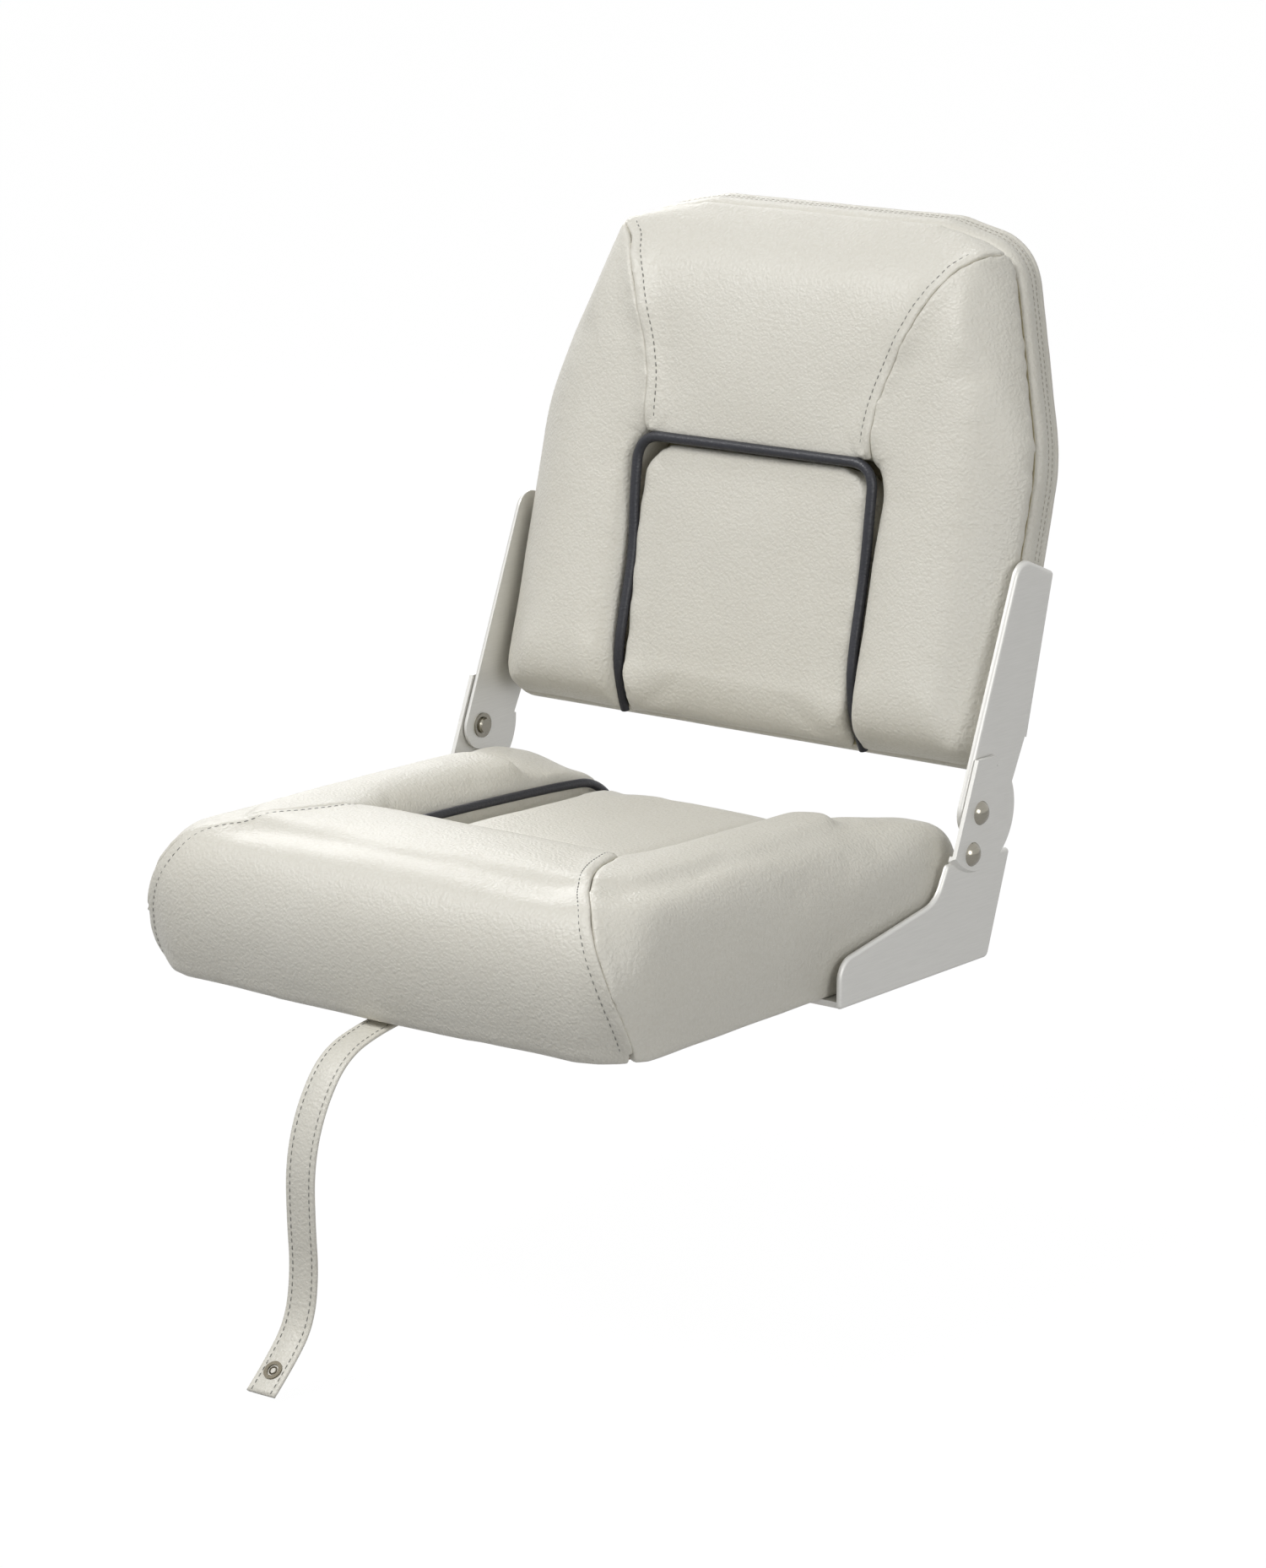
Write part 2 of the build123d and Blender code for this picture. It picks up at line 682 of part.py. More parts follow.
cushion_profile = profile_block(
    [
        (back_bottom, back_top_edge),
        (back_lower_crest_up, back_lower_crest),
        (back_crest_up, back_crest),
        (back_top - back_top_draw, back_top_edge),
    ],
    [low_mid_shares, flat_mid_shares, high_mid_shares],
)
pad_top = back_pad_top - groove_half
pad_profile = profile_block(
    [
        (back_bottom, back_top_edge),
        (back_pad_low_up, back_pad_low_rise),
        (pad_top, back_pad_high_rise),
    ],
    [low_mid_shares, flat_mid_shares],
)
back_level_shares = (0, 0.2, 0.44, 0.65, 0.85, 1)
back_bulge_shares = (0.05, 0, 0.24, 0.56, 0.86, 1)
back_wall_shares = (0, 0, 0.02, 0.15, 0.55, 1)
back_seam_out_shares = (0.04, 0.25, 0.64, 1.66)
back_seam_up_shares = (0.26, 0.53, 0.83, 1.13)
form_height = back_crest + back_top_edge


def back_levels(draws, shares):
    """Loft levels of a backrest form, each edge drawing in by the same shares of its own draw."""
    levels = []
    for level_share, draw_share in zip(back_level_shares, shares):
        insets = [draw * draw_share + soft_gap for draw in draws]
        levels.append((form_height * level_share, 0, insets))
    return levels


form_draws = [0, back_side_draw, back_brow_draw, back_crown_draw, 0]
form_draws += form_draws[3:0:-1]
form_levels = back_levels(form_draws, back_bulge_shares)
front_points = inset_points(back_points, back_insets(front_seam_depth, 0))
back_form = cushion(front_plane, [front_points] * len(form_levels), back_radii, form_levels)
back_form &= cushion_profile

seam_foot = (bolster_inner - back_corner_cut[0], back_pad_top + groove_half)
seam_out = back_brow_half_width - seam_foot[0]
seam_rise = back_brow_up - seam_foot[1]
back_seam = [
    (seam_foot[0] + out_share * seam_out, seam_foot[1] + up_share * seam_rise)
    for out_share, up_share in zip(back_seam_out_shares, back_seam_up_shares)
]
seam_end = back_seam[-1]
wall_side = back_half_width + overrun
wall_bottom = back_bottom - overrun
bolster_points = [
    (bolster_inner, wall_bottom),
    (wall_side, wall_bottom),
    (wall_side, seam_end[1]),
    *back_seam[::-1],
    seam_foot,
    (bolster_inner, seam_foot[1] - back_corner_cut[1]),
]
seam_radii = [back_seam_round] * (len(back_seam) - 1)
bolster_radii = [soft_gap, soft_gap, soft_gap, soft_gap, *seam_radii, soft_gap, soft_gap]
bolster_draws = [0, 0, 0] + [0] * len(back_seam) + [back_groove_draw, back_groove_draw]
wall_levels = back_levels(bolster_draws, back_wall_shares)
bolster_walls = cushion(front_plane, [bolster_points] * len(wall_levels), bolster_radii, wall_levels, True)
save_pair("back_bolster", back_form & bolster_walls)

head_side = [seam_foot] + back_seam
head_points = head_side + [(-x, up) for x, up in head_side[::-1]]
head_radii = [soft_gap, *seam_radii, soft_gap]
head_radii += head_radii[::-1]
head_outline = inset_points(head_points, [soft_gap] * len(head_points))
headrest_walls = extrude(front_plane * outline_face(head_outline, head_radii), form_height)
save("back_headrest_pad", back_form & headrest_walls)

back_pad_points = [
    (-pad_half_width, back_bottom),
    (pad_half_width, back_bottom),
    (pad_half_width, pad_top),
    (-pad_half_width, pad_top),
]
pad_corner = back_pad_round - groove_half
pad_radii = [soft_gap, soft_gap, pad_corner, pad_corner]
pad_outline = inset_points(back_pad_points, [soft_gap] * len(back_pad_points))
back_pad = extrude(front_plane * outline_face(pad_outline, pad_radii), form_height)
save("back_centre_pad", back_pad & pad_profile)

# Backrest piping: one length up one side of the centre pad, across its top and down
piping_rises = [
    (back_bottom + bead, back_top_edge + bead),
    (back_pad_low_up, back_pad_low_rise + bead),
    (back_pad_top, back_pad_high_rise),
]
side_path = [(piping_x, up, rise) for up, rise in piping_rises]
piping_route = side_path + [(-x, up, rise) for x, up, rise in side_path[::-1]]
local_path = FilletPolyline(*piping_route, radius=[back_pad_round] * (len(piping_route) - 2))
save("back_piping", front_plane.location * swept(Circle(bead), local_path))

# Snap stud on the backrest's rear, where the strap's socket closes when the seat is folded
stud = Pos(0, 0, stud_base / 2) * Cylinder(stud_outer / 2, stud_base)
stud += Pos(0, 0, stud_base + stud_knob_height / 2) * Cylinder(stud_knob / 2, stud_knob_height)
knob_rim = stud.edges().filter_by(GeomType.CIRCLE).sort_by(Axis.Z)[-1]
stud = fillet(knob_rim, stud_base / 2)
save("snap_stud", back_plane(back_rear_depth) * Pos(0, stud_up, 0) * Rot(180, 0, 0) * stud)

# Strap: one flat length from its screw under the board, past the front edge and down
strap_route = [(0, -reach, -strap_thick / 2 - fall) for reach, fall in zip(strap_reach, strap_fall)]
bend_share = 0.45
strap_radii = []
for before, point, after in zip(strap_route, strap_route[1:], strap_route[2:]):
    run_in = Vector(*point) - Vector(*before)
    run_out = Vector(*after) - Vector(*point)
    half_turn = radians(run_in.get_angle(run_out)) / 2
    strap_radii.append(bend_share * min(run_in.length, run_out.length) / tan(half_turn))
strap_path = FilletPolyline(*strap_route, radius=strap_radii)
strap = swept(Rectangle(strap_width, strap_thick), strap_path)
section_volume = strap_path.length * strap_width * strap_thick
print("strap length", round(strap_path.length, 1), "radii", [round(radius) for radius in strap_radii])
print("strap volume", round(strap.volume), "of section x length", round(section_volume))

# Snap socket near the strap's free end, closed through the strap and flush on both faces
snap_share = 1 - snap_inset / strap_path.length
snap_normal = (strap_path % snap_share).cross(Vector(1, 0, 0))
snap_plane = Plane(origin=strap_path @ snap_share, x_dir=(1, 0, 0), z_dir=snap_normal)
cap_z = -strap_thick / 2 - snap_height / 2
socket = Pos(0, 0, cap_z) * Cylinder(snap_outer / 2, snap_height)
cap_rim = socket.edges().filter_by(GeomType.CIRCLE).sort_by(Axis.Z)[0]
socket = fillet(cap_rim, snap_height / 2)
socket += Cylinder(snap_barrel / 2, strap_thick + 2 * snap_eyelet_height)
eyelet_z = strap_thick / 2 + snap_eyelet_height / 2
socket += Pos(0, 0, eyelet_z) * Cylinder(snap_eyelet / 2, snap_eyelet_height)
socket -= Pos(0, 0, (overrun - strap_thick) / 2) * Cylinder(snap_bore / 2, overrun)
socket -= Pos(0, 0, cap_z - snap_height / 2) * Cylinder(snap_bore / 2, 2 * snap_well)
strap -= snap_plane * Cylinder(snap_barrel / 2, overrun / 2)
save("snap_socket", snap_plane * socket - strap)

# Screw and washer that hold the strap's inner end up to the board
strap_screw_y = -strap_reach[0] - strap_screw_inset
washer_top = -strap_thick
washer = Cylinder(strap_washer_outer / 2, strap_washer_thick)
washer -= Cylinder(screw_shank / 2 + fit_gap, strap_washer_thick)
save("strap_washer", Pos(0, strap_screw_y, washer_top - strap_washer_thick / 2) * washer)
screw_place = Pos(0, strap_screw_y, washer_top - strap_washer_thick)
strap_stack = strap_thick + strap_washer_thick
save("strap_screw", screw_place * pan_screw(strap_stack + screw_grip))
strap_hole = screw_place * screw_hole(2 * (strap_stack + screw_grip + fit_gap))
save("strap", strap - strap_hole)
save("seat_board", board - strap_hole)
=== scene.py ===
# %% [markdown]
# # A folding boat seat
# The hinges, rivets and boards of this seat come ready made from the frame, in real sizes.
# This lesson adds what a frame can't carry: soft cushions, piping, stitching and finishes.

# %% Load the frame
import json
import math

import bmesh
import bpy
from mathutils import Matrix, Vector, noise
from mathutils.bvhtree import BVHTree
from mathutils.kdtree import KDTree


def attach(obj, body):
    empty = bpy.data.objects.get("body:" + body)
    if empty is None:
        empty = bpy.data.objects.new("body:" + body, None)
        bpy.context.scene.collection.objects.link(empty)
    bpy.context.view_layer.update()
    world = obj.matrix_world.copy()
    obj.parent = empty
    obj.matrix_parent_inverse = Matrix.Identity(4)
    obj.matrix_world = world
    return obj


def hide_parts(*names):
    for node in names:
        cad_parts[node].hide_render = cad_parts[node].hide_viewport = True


MM = 0.001
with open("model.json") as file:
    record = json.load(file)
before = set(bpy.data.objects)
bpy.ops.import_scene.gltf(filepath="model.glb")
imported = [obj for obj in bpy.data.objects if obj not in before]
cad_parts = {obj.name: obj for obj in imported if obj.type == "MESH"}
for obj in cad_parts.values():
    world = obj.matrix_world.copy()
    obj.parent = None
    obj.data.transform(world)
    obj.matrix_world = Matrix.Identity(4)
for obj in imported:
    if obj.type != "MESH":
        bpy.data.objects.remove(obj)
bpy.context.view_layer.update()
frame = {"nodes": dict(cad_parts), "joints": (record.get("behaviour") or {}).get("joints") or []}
nodes = frame["nodes"]
print("frame nodes:", len(nodes))

# %% [markdown]
# ## Camera
# The camera stands where the photographer stood: 38 degrees to the right of the seat's front
# and 13 degrees above it, almost four metres away behind a long lens, which keeps the two
# hinges nearly the same size. A target to aim at is easier to adjust than three angles.

# %% Place the camera
def new_object(name, data):
    """An object of the scene with this data, at the origin."""
    made = bpy.data.objects.new(name, data)
    bpy.context.scene.collection.objects.link(made)
    return made


def aim(thing, place, target):
    """Stands a camera or lamp at a place and turns it to a target, both in metres."""
    thing.location = place
    thing.rotation_euler = (Vector(target) - Vector(place)).to_track_quat("-Z", "Y").to_euler()


camera_place = Vector((2195.785, -2734.302, 953.643)) * MM
camera_target = Vector((-74.063, 171.0, 74.994)) * MM
camera_data = bpy.data.cameras.new("studio camera")
camera_data.sensor_fit = "VERTICAL"
camera_data.sensor_height = 36
camera_data.lens = 125.94
camera = new_object("studio camera", camera_data)
aim(camera, camera_place, camera_target)
bpy.context.scene.camera = camera
print("camera distance, m:", round((camera_target - camera_place).length, 3))

# %% [markdown]
# ## Helpers for shapes
# Every piece is made in place, in metres, so that its object can stay at the origin. A bmesh
# holds a shape while operators work on it, and `make_piece` turns it into an object. Strips and
# rings are flat grids laid on rows of points, because a grid joins its rows in order and never
# twists.

# %% Helpers for meshes
merge_gap = 0.01 * MM


def make_piece(bm, name, smooth=True):
    """Turns a bmesh into an object of the scene and frees the bmesh."""
    mesh = bpy.data.meshes.new(name)
    for face in bm.faces:
        face.smooth = smooth
    bm.to_mesh(mesh)
    bm.free()
    return new_object(name, mesh)


def piece_bmesh(piece):
    """A bmesh with a copy of a piece's mesh."""
    bm = bmesh.new()
    bm.from_mesh(piece.data)
    return bm


def keep_shape(bm, piece):
    """Writes a bmesh back to its piece and frees it."""
    bm.to_mesh(piece.data)
    bm.free()


def evaluated_mesh(piece):
    """A new mesh with the piece's modifiers applied."""
    graph = bpy.context.evaluated_depsgraph_get()
    return bpy.data.meshes.new_from_object(piece.evaluated_get(graph))


def laid_grid(rows, closed):
    """A grid laid on rows of points. A closed one joins the end of each row to its start."""
    bm = bmesh.new()
    count = len(rows[0])
    across = count if closed else count - 1
    along = len(rows) - 1
    bmesh.ops.create_grid(bm, x_segments=across, y_segments=along, size=1)
    for vertex in bm.verts:
        i = round((vertex.co.x + 1) / 2 * across) % count
        j = round((vertex.co.y + 1) / 2 * along)
        vertex.co = rows[j][i]
    return bm


def ringed(loops):
    """Closed loops of points, joined in order by faces, with both ends filled."""
    bm = laid_grid(loops, closed=True)
    bmesh.ops.remove_doubles(bm, verts=bm.verts, dist=merge_gap)
    bmesh.ops.holes_fill(bm, edges=bm.edges)
    bmesh.ops.recalc_face_normals(bm, faces=bm.faces)
    return bm


def point_tree(points):
    """A lookup of the nearest of these points."""
    tree = KDTree(len(points))
    for i, point in enumerate(points):
        tree.insert(point, i)
    tree.balance()
    return tree


def surface_tree(bm):
    """A lookup of the nearest place on a bmesh's surface. It frees the bmesh."""
    tree = BVHTree.FromBMesh(bm)
    bm.free()
    return tree


# %% Helpers for lines
def spline_curve(name, points, order=3):
    """A curve object with one open NURBS spline that has these control points, in mm."""
    data = bpy.data.curves.new(name, "CURVE")
    data.dimensions = "3D"
    data.resolution_u = 16
    spline = data.splines.new("NURBS")
    spline.points.add(len(points) - 1)
    for point, place in zip(spline.points, points):
        point.co = (*(Vector(place) * MM), 1)
    spline.order_u = order
    spline.use_endpoint_u = True
    return new_object(name, data)


def smooth_line(points, order=3):
    """Points along the NURBS spline that has these control points, as vectors in metres."""
    curve = spline_curve("guide", points, order)
    mesh = bpy.data.meshes.new_from_object(curve)
    line = [vertex.co.copy() for vertex in mesh.vertices]
    bpy.data.meshes.remove(mesh)
    bpy.data.objects.remove(curve)
    return line


def line_length(line):
    return sum((b - a).length for a, b in zip(line, line[1:]))


def even_line(line, step):
    """The same line with its points an even step apart, in metres."""
    count = max(2, round(line_length(line) / step))
    gap = line_length(line) / count
    points, walked, target = [line[0]], 0.0, gap
    for a, b in zip(line, line[1:]):
        run = (b - a).length
        while run > 0 and walked + run >= target - 1e-9 and len(points) < count:
            points.append(a.lerp(b, (target - walked) / run))
            target += gap
        walked += run
    return points + [line[-1]]


def tangent(line, i):
    return (line[min(i + 1, len(line) - 1)] - line[max(i - 1, 0)]).normalized()


# %% [markdown]
# ## Closing strap
# A strip of the same vinyl, folded over and stitched along both edges, is screwed under the
# seat and hangs out at the front. It follows a smooth line through the same places as the
# solid in the frame. A cloth simulation could hang it, but the line keeps the strap's real
# length and its lay the same in each run.

# %% Strap line
strap_points = [
    (0, -112, -1.2),
    (0, -150, -1.2),
    (0, -192, -4.2),
    (0, -230, -14.2),
    (0, -253, -44.2),
    (0, -264, -78.2),
    (0, -263.5, -117.2),
    (0, -261, -149.2),
    (0, -266, -181.2),
    (0, -284, -202.2),
    (0, -304, -219.2),
]
strap_line = smooth_line(strap_points)

# %% Bend a strip along a line
def strip_section(width, thick, hem, dip, edge_steps=4):
    """A closed outline of a folded strip: round edges, hems beside them, (across, up) points."""
    half, bead = width / 2 - thick / 2, thick / 2
    inner = half - hem
    across = [half, inner + dip * 3, inner, inner - dip * 3, 0, dip * 3 - inner, -inner, -inner - dip * 3]
    drop = [0, 0, dip, 0, -dip / 2, 0, dip, 0]
    outline = []
    for side in (1, -1):
        for place, fall in zip(across, drop):
            outline.append((side * place, side * (bead - fall)))
        for step in range(edge_steps):
            turn = math.pi * step / edge_steps
            outline.append((-side * (half + bead * math.sin(turn)), side * bead * math.cos(turn)))
    return outline


sideways = Vector((1, 0, 0))


def strap_up(line, i):
    """Away from the face of a strip that lies across the seat's width, at a point of its line."""
    return tangent(line, i).cross(sideways).normalized()


def bend_strip(line, section):
    """A closed section laid along a line, its width across the seat, with both ends closed."""
    return ringed([
        [point + sideways * across + strap_up(line, i) * rise for across, rise in section]
        for i, point in enumerate(line)
    ])


strap_width = 23.5 * MM
strap_thick = 2.4 * MM
strap_hem = 2.6 * MM
stitch_dip = 0.25 * MM
strap_edge = strip_section(strap_width, strap_thick, strap_hem, stitch_dip)
strap = make_piece(bend_strip(strap_line, strap_edge), "closing_strap")
print("strap faces:", len(strap.data.polygons))

# %% [markdown]
# ## Inside of the snap
# The snap's socket is a cup with a ring of spring wire that grips the stud. It is seen only from
# below the strap. A section turned round an axis makes it, like a part from a lathe, and the
# places of the frame's own socket say where the axis is.

# %% Turn the inside of the snap
snap_reach = 17 * MM
snap_rise = 2.4 * MM
snap_at = min(strap_line, key=lambda point: abs((strap_line[-1] - point).length - snap_reach))
snap_up = strap_up(strap_line, strap_line.index(snap_at))
socket_places = [vertex.co for vertex in nodes["snap_socket"].data.vertices]
reaches = [place.dot(snap_up) for place in socket_places]
snap_middle = sum(socket_places, Vector()) / len(socket_places)
snap_middle += snap_up * (max(reaches) - snap_middle.dot(snap_up) - snap_rise)
snap_ahead = snap_up.cross(sideways)
well_section = [
    (0.4, 1.0),
    (4.0, 1.0),
    (4.0, 1.6),
    (3.8, 1.3),
    (3.1, 1.3),
    (2.8, 2.0),
    (2.2, 2.0),
    (1.8, 1.3),
    (0.4, 1.3),
]
well_sides = 20
turns = [math.tau * i / well_sides for i in range(well_sides)]


def well_point(radius, height, turn):
    """A place on the inside of the snap: a radius and a height in mm, and a turn."""
    across = sideways * radius * math.cos(turn) * MM
    ahead = snap_ahead * radius * math.sin(turn) * MM
    return snap_middle + across + ahead + snap_up * height * MM


well_loops = [[well_point(radius, height, turn) for turn in turns] for radius, height in well_section]
snap_well = make_piece(ringed(well_loops), "snap_well")
print("snap middle, m:", [round(value, 4) for value in snap_middle])
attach(snap_well, "seat_base")

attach(strap, "seat_base")
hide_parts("strap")
print("strap rides on the seat with its snap")

# %% [markdown]
# ## Cushions
# The real cushions are vinyl covers pulled over foam. The cover is tight, so it bulges between
# its seams and is held at them. Each one starts as its solid from the frame, a little smaller,
# rebuilt as an even net of small faces. Its hidden sides are pinned, air pressure inside a
# cloth simulation swells the rest, and one subdivision smooths the result. Hand modelling
# could give a like shape, but the pressure gives the crown of real upholstery for free.

# %% Read a solid of the frame
def node_mesh(*names):
    """A bmesh with the solids of these nodes, their loose triangles joined."""
    bm = bmesh.new()
    for name in names:
        bm.from_mesh(nodes[name].data)
    bmesh.ops.remove_doubles(bm, verts=bm.verts, dist=merge_gap)
    return bm


# %% Net a solid
net_size = 4.2 * MM
touch_reach = 3.6 * MM
ease_reach = 11 * MM
under_rim = 2.5 * MM
roll_inset = 2.4 * MM
pad_inset = 1.2 * MM
smooth_steps = 7


def netted_solid(name, node):
    """An object with the node's shape as an even net, with no modifier left on it."""
    rough = make_piece(node_mesh(node), name + "_rough")
    remesh = rough.modifiers.new("net", "REMESH")
    remesh.mode = "VOXEL"
    remesh.voxel_size = net_size
    mesh = evaluated_mesh(rough)
    bpy.data.objects.remove(rough)
    return new_object(name, mesh)


def hold_values(bm, tree):
    """For each vertex 1 where it touches a neighbour or the underside, 0 past the ease reach."""
    values = []
    for vertex in bm.verts:
        gap = min(tree.find_nearest(vertex.co)[3], vertex.co.z + touch_reach - under_rim)
        values.append(1 - min(1, max(0, (gap - touch_reach) / (ease_reach - touch_reach))))
    return values


def smooth_net(bm, verts, steps):
    """Moves vertices half way to the mean of their neighbours, so many times."""
    for _ in range(steps):
        bmesh.ops.smooth_vert(
            bm, verts=verts, factor=0.5, use_axis_x=True, use_axis_y=True, use_axis_z=True
        )


def cushion_blank(name, node, neighbours, inset):
    """A netted, smoothed and slightly shrunk copy of a node, with its touching side pinned."""
    piece = netted_solid(name, node)
    bm = piece_bmesh(piece)
    held = hold_values(bm, surface_tree(node_mesh(*neighbours)))
    free = [vertex for vertex, value in zip(bm.verts, held) if value < 1]
    smooth_net(bm, free, smooth_steps)
    bm.normal_update()
    for vertex, value in zip(bm.verts, held):
        vertex.co -= vertex.normal * inset * (1 - value)
    keep_shape(bm, piece)
    pins = piece.vertex_groups.new(name="held")
    for i, value in enumerate(held):
        pins.add([i], value, "REPLACE")
    piece["node"] = node
    return piece


# %% Swell cushions with air
air_frames = 20
swell_cap = 9 * MM
proud_cap = 2.6 * MM


def swell(pieces, pressure=4.0):
    """Inflates all these pieces in one cloth simulation and keeps the result."""
    starts = {piece.name: [vertex.co.copy() for vertex in piece.data.vertices] for piece in pieces}
    for piece in pieces:
        cloth = piece.modifiers.new("air", "CLOTH")
        cloth.settings.use_pressure = True
        cloth.settings.uniform_pressure_force = pressure
        cloth.settings.effector_weights.gravity = 0
        cloth.settings.vertex_group_mass = "held"
        cloth.settings.quality = 4
        cloth.settings.tension_stiffness = 15
        cloth.settings.compression_stiffness = 15
        cloth.settings.bending_stiffness = 3
        cloth.collision_settings.use_collision = False
        cloth.point_cache.frame_start = 1
        cloth.point_cache.frame_end = air_frames
    for step in range(1, air_frames + 1):
        bpy.context.scene.frame_set(step)
    graph = bpy.context.evaluated_depsgraph_get()
    for piece in pieces:
        swollen = bpy.data.meshes.new_from_object(piece.evaluated_get(graph))
        solid = surface_tree(node_mesh(piece["node"]))
        for vertex, start, end in zip(piece.data.vertices, starts[piece.name], swollen.vertices):
            move = end.co - start
            place = start + move.normalized() * min(move.length, swell_cap)
            near, normal, _, _ = solid.find_nearest(place)
            proud = (place - near).dot(normal)
            if proud > proud_cap:
                place -= normal * (proud - proud_cap)
            vertex.co = place
        bpy.data.meshes.remove(swollen)
        piece.modifiers.clear()
    bpy.context.scene.frame_set(1)


# %% Make the cushion blanks
seat_solids = ["seat_front_roll", "seat_centre_pad", "seat_bolster_right", "seat_bolster_left"]
back_solids = ["back_headrest_pad", "back_centre_pad", "back_bolster_right", "back_bolster_left"]
cushion_bodies = {}


def neighbours_of(node, group, carriers):
    return [name for name in group if name != node] + carriers


seat_carriers = ["seat_board", "hinge_bracket_right", "hinge_bracket_left"]
blanks = []
for body, group, carriers in (
    ("seat_base", seat_solids, seat_carriers),
    ("backrest", back_solids, ["back_foam"]),
):
    for node in group[:3]:
        inset = pad_inset if node.endswith("centre_pad") else roll_inset
        blank = cushion_blank(node + "_cover", node, neighbours_of(node, group, carriers), inset)
        cushion_bodies[blank.name] = body
        blanks.append(blank)
swell(blanks)
print("cushions swollen:", {piece.name: len(piece.data.vertices) for piece in blanks})

# %% [markdown]
# ## Covers
# A real cover is never perfectly even. It swells right up to its seams, puckers beside them,
# where the thread gathers it, and waves a little in between. After one subdivision, small moves
# add all three: the cover is lifted and drawn towards each seam line, fading within a couple of
# centimetres, and then rippled along its normals. Sculpting by hand could do the same once, but
# lines can be moved later. The left-hand cushions mirror the right-hand ones.

# %% Seam guides
pivot = Vector(frame["joints"][0]["pos_m"])
back_lean = math.radians(15)
right_and_left = (1, -1)
back_up = Vector((0, math.sin(back_lean), math.cos(back_lean)))
back_in = Vector((0, math.cos(back_lean), -math.sin(back_lean)))


def back_place(x, up, depth):
    """A place on the backrest in mm: across, up its slope and behind its pivot."""
    return Vector((x * MM, 0, 0)) + pivot + back_up * up * MM + back_in * depth * MM


def mirrored(points):
    return [(-x, y, z) for x, y, z in points]


hands = {"right": list, "left": mirrored}
front_seam_guide = [
    (103, -62, 96),
    (109, -87, 102),
    (120, -113, 103),
    (133, -139, 102),
    (148.5, -160.6, 99.5),
    (164, -178.4, 90),
    (177.5, -188.8, 72.5),
    (187.5, -191.5, 53.6),
    (195.5, -186.6, 27.9),
    (199, -174, 4),
]
head_seam_guide = [
    (91, 220, -14),
    (93, 239, -18),
    (98, 262, -20),
    (104, 283, -20.5),
    (114, 304, -18),
    (128.5, 335, -13),
    (144, 355, -1),
    (155, 364.5, 12),
]
seat_piping_guide = [
    (100, -64, 79),
    (100, -54, 84.5),
    (100, 40, 82.2),
    (100, 138, 77.8),
    (100, 159, 74.5),
    (100, 177.5, 62),
    (100, 180.7, 46),
    (100, 180.7, 15),
    (100, 180.7, 0.5),
]
back_piping_side = [
    (102, 28, 21),
    (100.5, 46, 6),
    (99, 70, -2.5),
    (98, 93, -4.5),
    (97.5, 133, -5),
    (98.5, 158, -8.5),
    (99.3, 179, -12.5),
    (99.3, 217, -17),
    (61, 217, -18),
]


def on_back(points):
    """Points of the backrest, as points of the whole seat in mm."""
    return [tuple(back_place(*point) / MM) for point in points]


head_seam_guide = on_back(head_seam_guide)
back_piping_guide = on_back(back_piping_side + mirrored(back_piping_side)[::-1])
print("seam guides:", len(hands) * 3 + 1)

# %% Spread points along the seams
seam_step = 1.5 * MM
seam_points, seam_along, seam_moves = [], [], []


def add_seam(guide, lift, pad_lift, pull):
    """Adds a seam and three moves beside it in mm: lift, more lift for a pad, pull towards it."""
    line = even_line(smooth_line(guide), seam_step)
    seam_points.extend(line)
    seam_along.extend(i * seam_step for i in range(len(line)))
    seam_moves.extend([(lift * MM, lift * MM + pad_lift * MM, pull * MM)] * len(line))


for mirror in hands.values():
    add_seam(mirror(front_seam_guide), 3.0, 0, 3.0)
for mirror in hands.values():
    add_seam(mirror(head_seam_guide), 3.5, 0, 2.0)
for mirror in hands.values():
    add_seam(mirror(seat_piping_guide), 1.0, 7.0, 2.0)
add_seam(back_piping_guide, 2.0, 1.0, 3.2)
seams = point_tree(seam_points)
print("seam points:", len(seam_points))

# %% Pucker and subdivide
pucker_height = 0.45 * MM
pucker_reach = 9 * MM
pucker_pitch = 105
pucker_spread = 30
wave_height = 0.5 * MM
wave_pitch = 24
lift_reach = 13 * MM
pull_start = 5 * MM
facing_reach = 15 * MM
corner_place = Vector((148, -158, 99)) * MM
corner_lift = 2.8 * MM
corner_reach = 15 * MM


def subdivide_cover(piece):
    """Eases the net and subdivides it once."""
    bm = piece_bmesh(piece)
    smooth_net(bm, bm.verts, 2)
    keep_shape(bm, piece)
    subdivision = piece.modifiers.new("fine", "SUBSURF")
    subdivision.levels = 1
    subdivision.render_levels = 1
    fine = evaluated_mesh(piece)
    piece.modifiers.clear()
    piece.vertex_groups.clear()
    bm = bmesh.new()
    bm.from_mesh(fine)
    bpy.data.meshes.remove(fine)
    keep_shape(bm, piece)


def seam_facing(pieces):
    """For each seam point the mean direction that the covers round it face."""
    facing = []
    for piece in pieces:
        for vertex in piece.data.vertices:
            for hand in right_and_left:
                if hand == 1 or piece["node"].endswith("_right"):
                    mirror = Vector((hand, 1, 1))
                    facing.append((vertex.co * mirror, vertex.normal * mirror))
    places = point_tree([place for place, _ in facing])
    means = []
    for point in seam_points:
        near = [facing[i][1] for _, i, _ in places.find_range(point, facing_reach)]
        means.append(sum(near, Vector()).normalized())
    return means


def fading(gap, reach):
    """1 at no gap, falling along a bell curve to 0.37 at the reach."""
    return math.exp(-((gap / reach) ** 2))


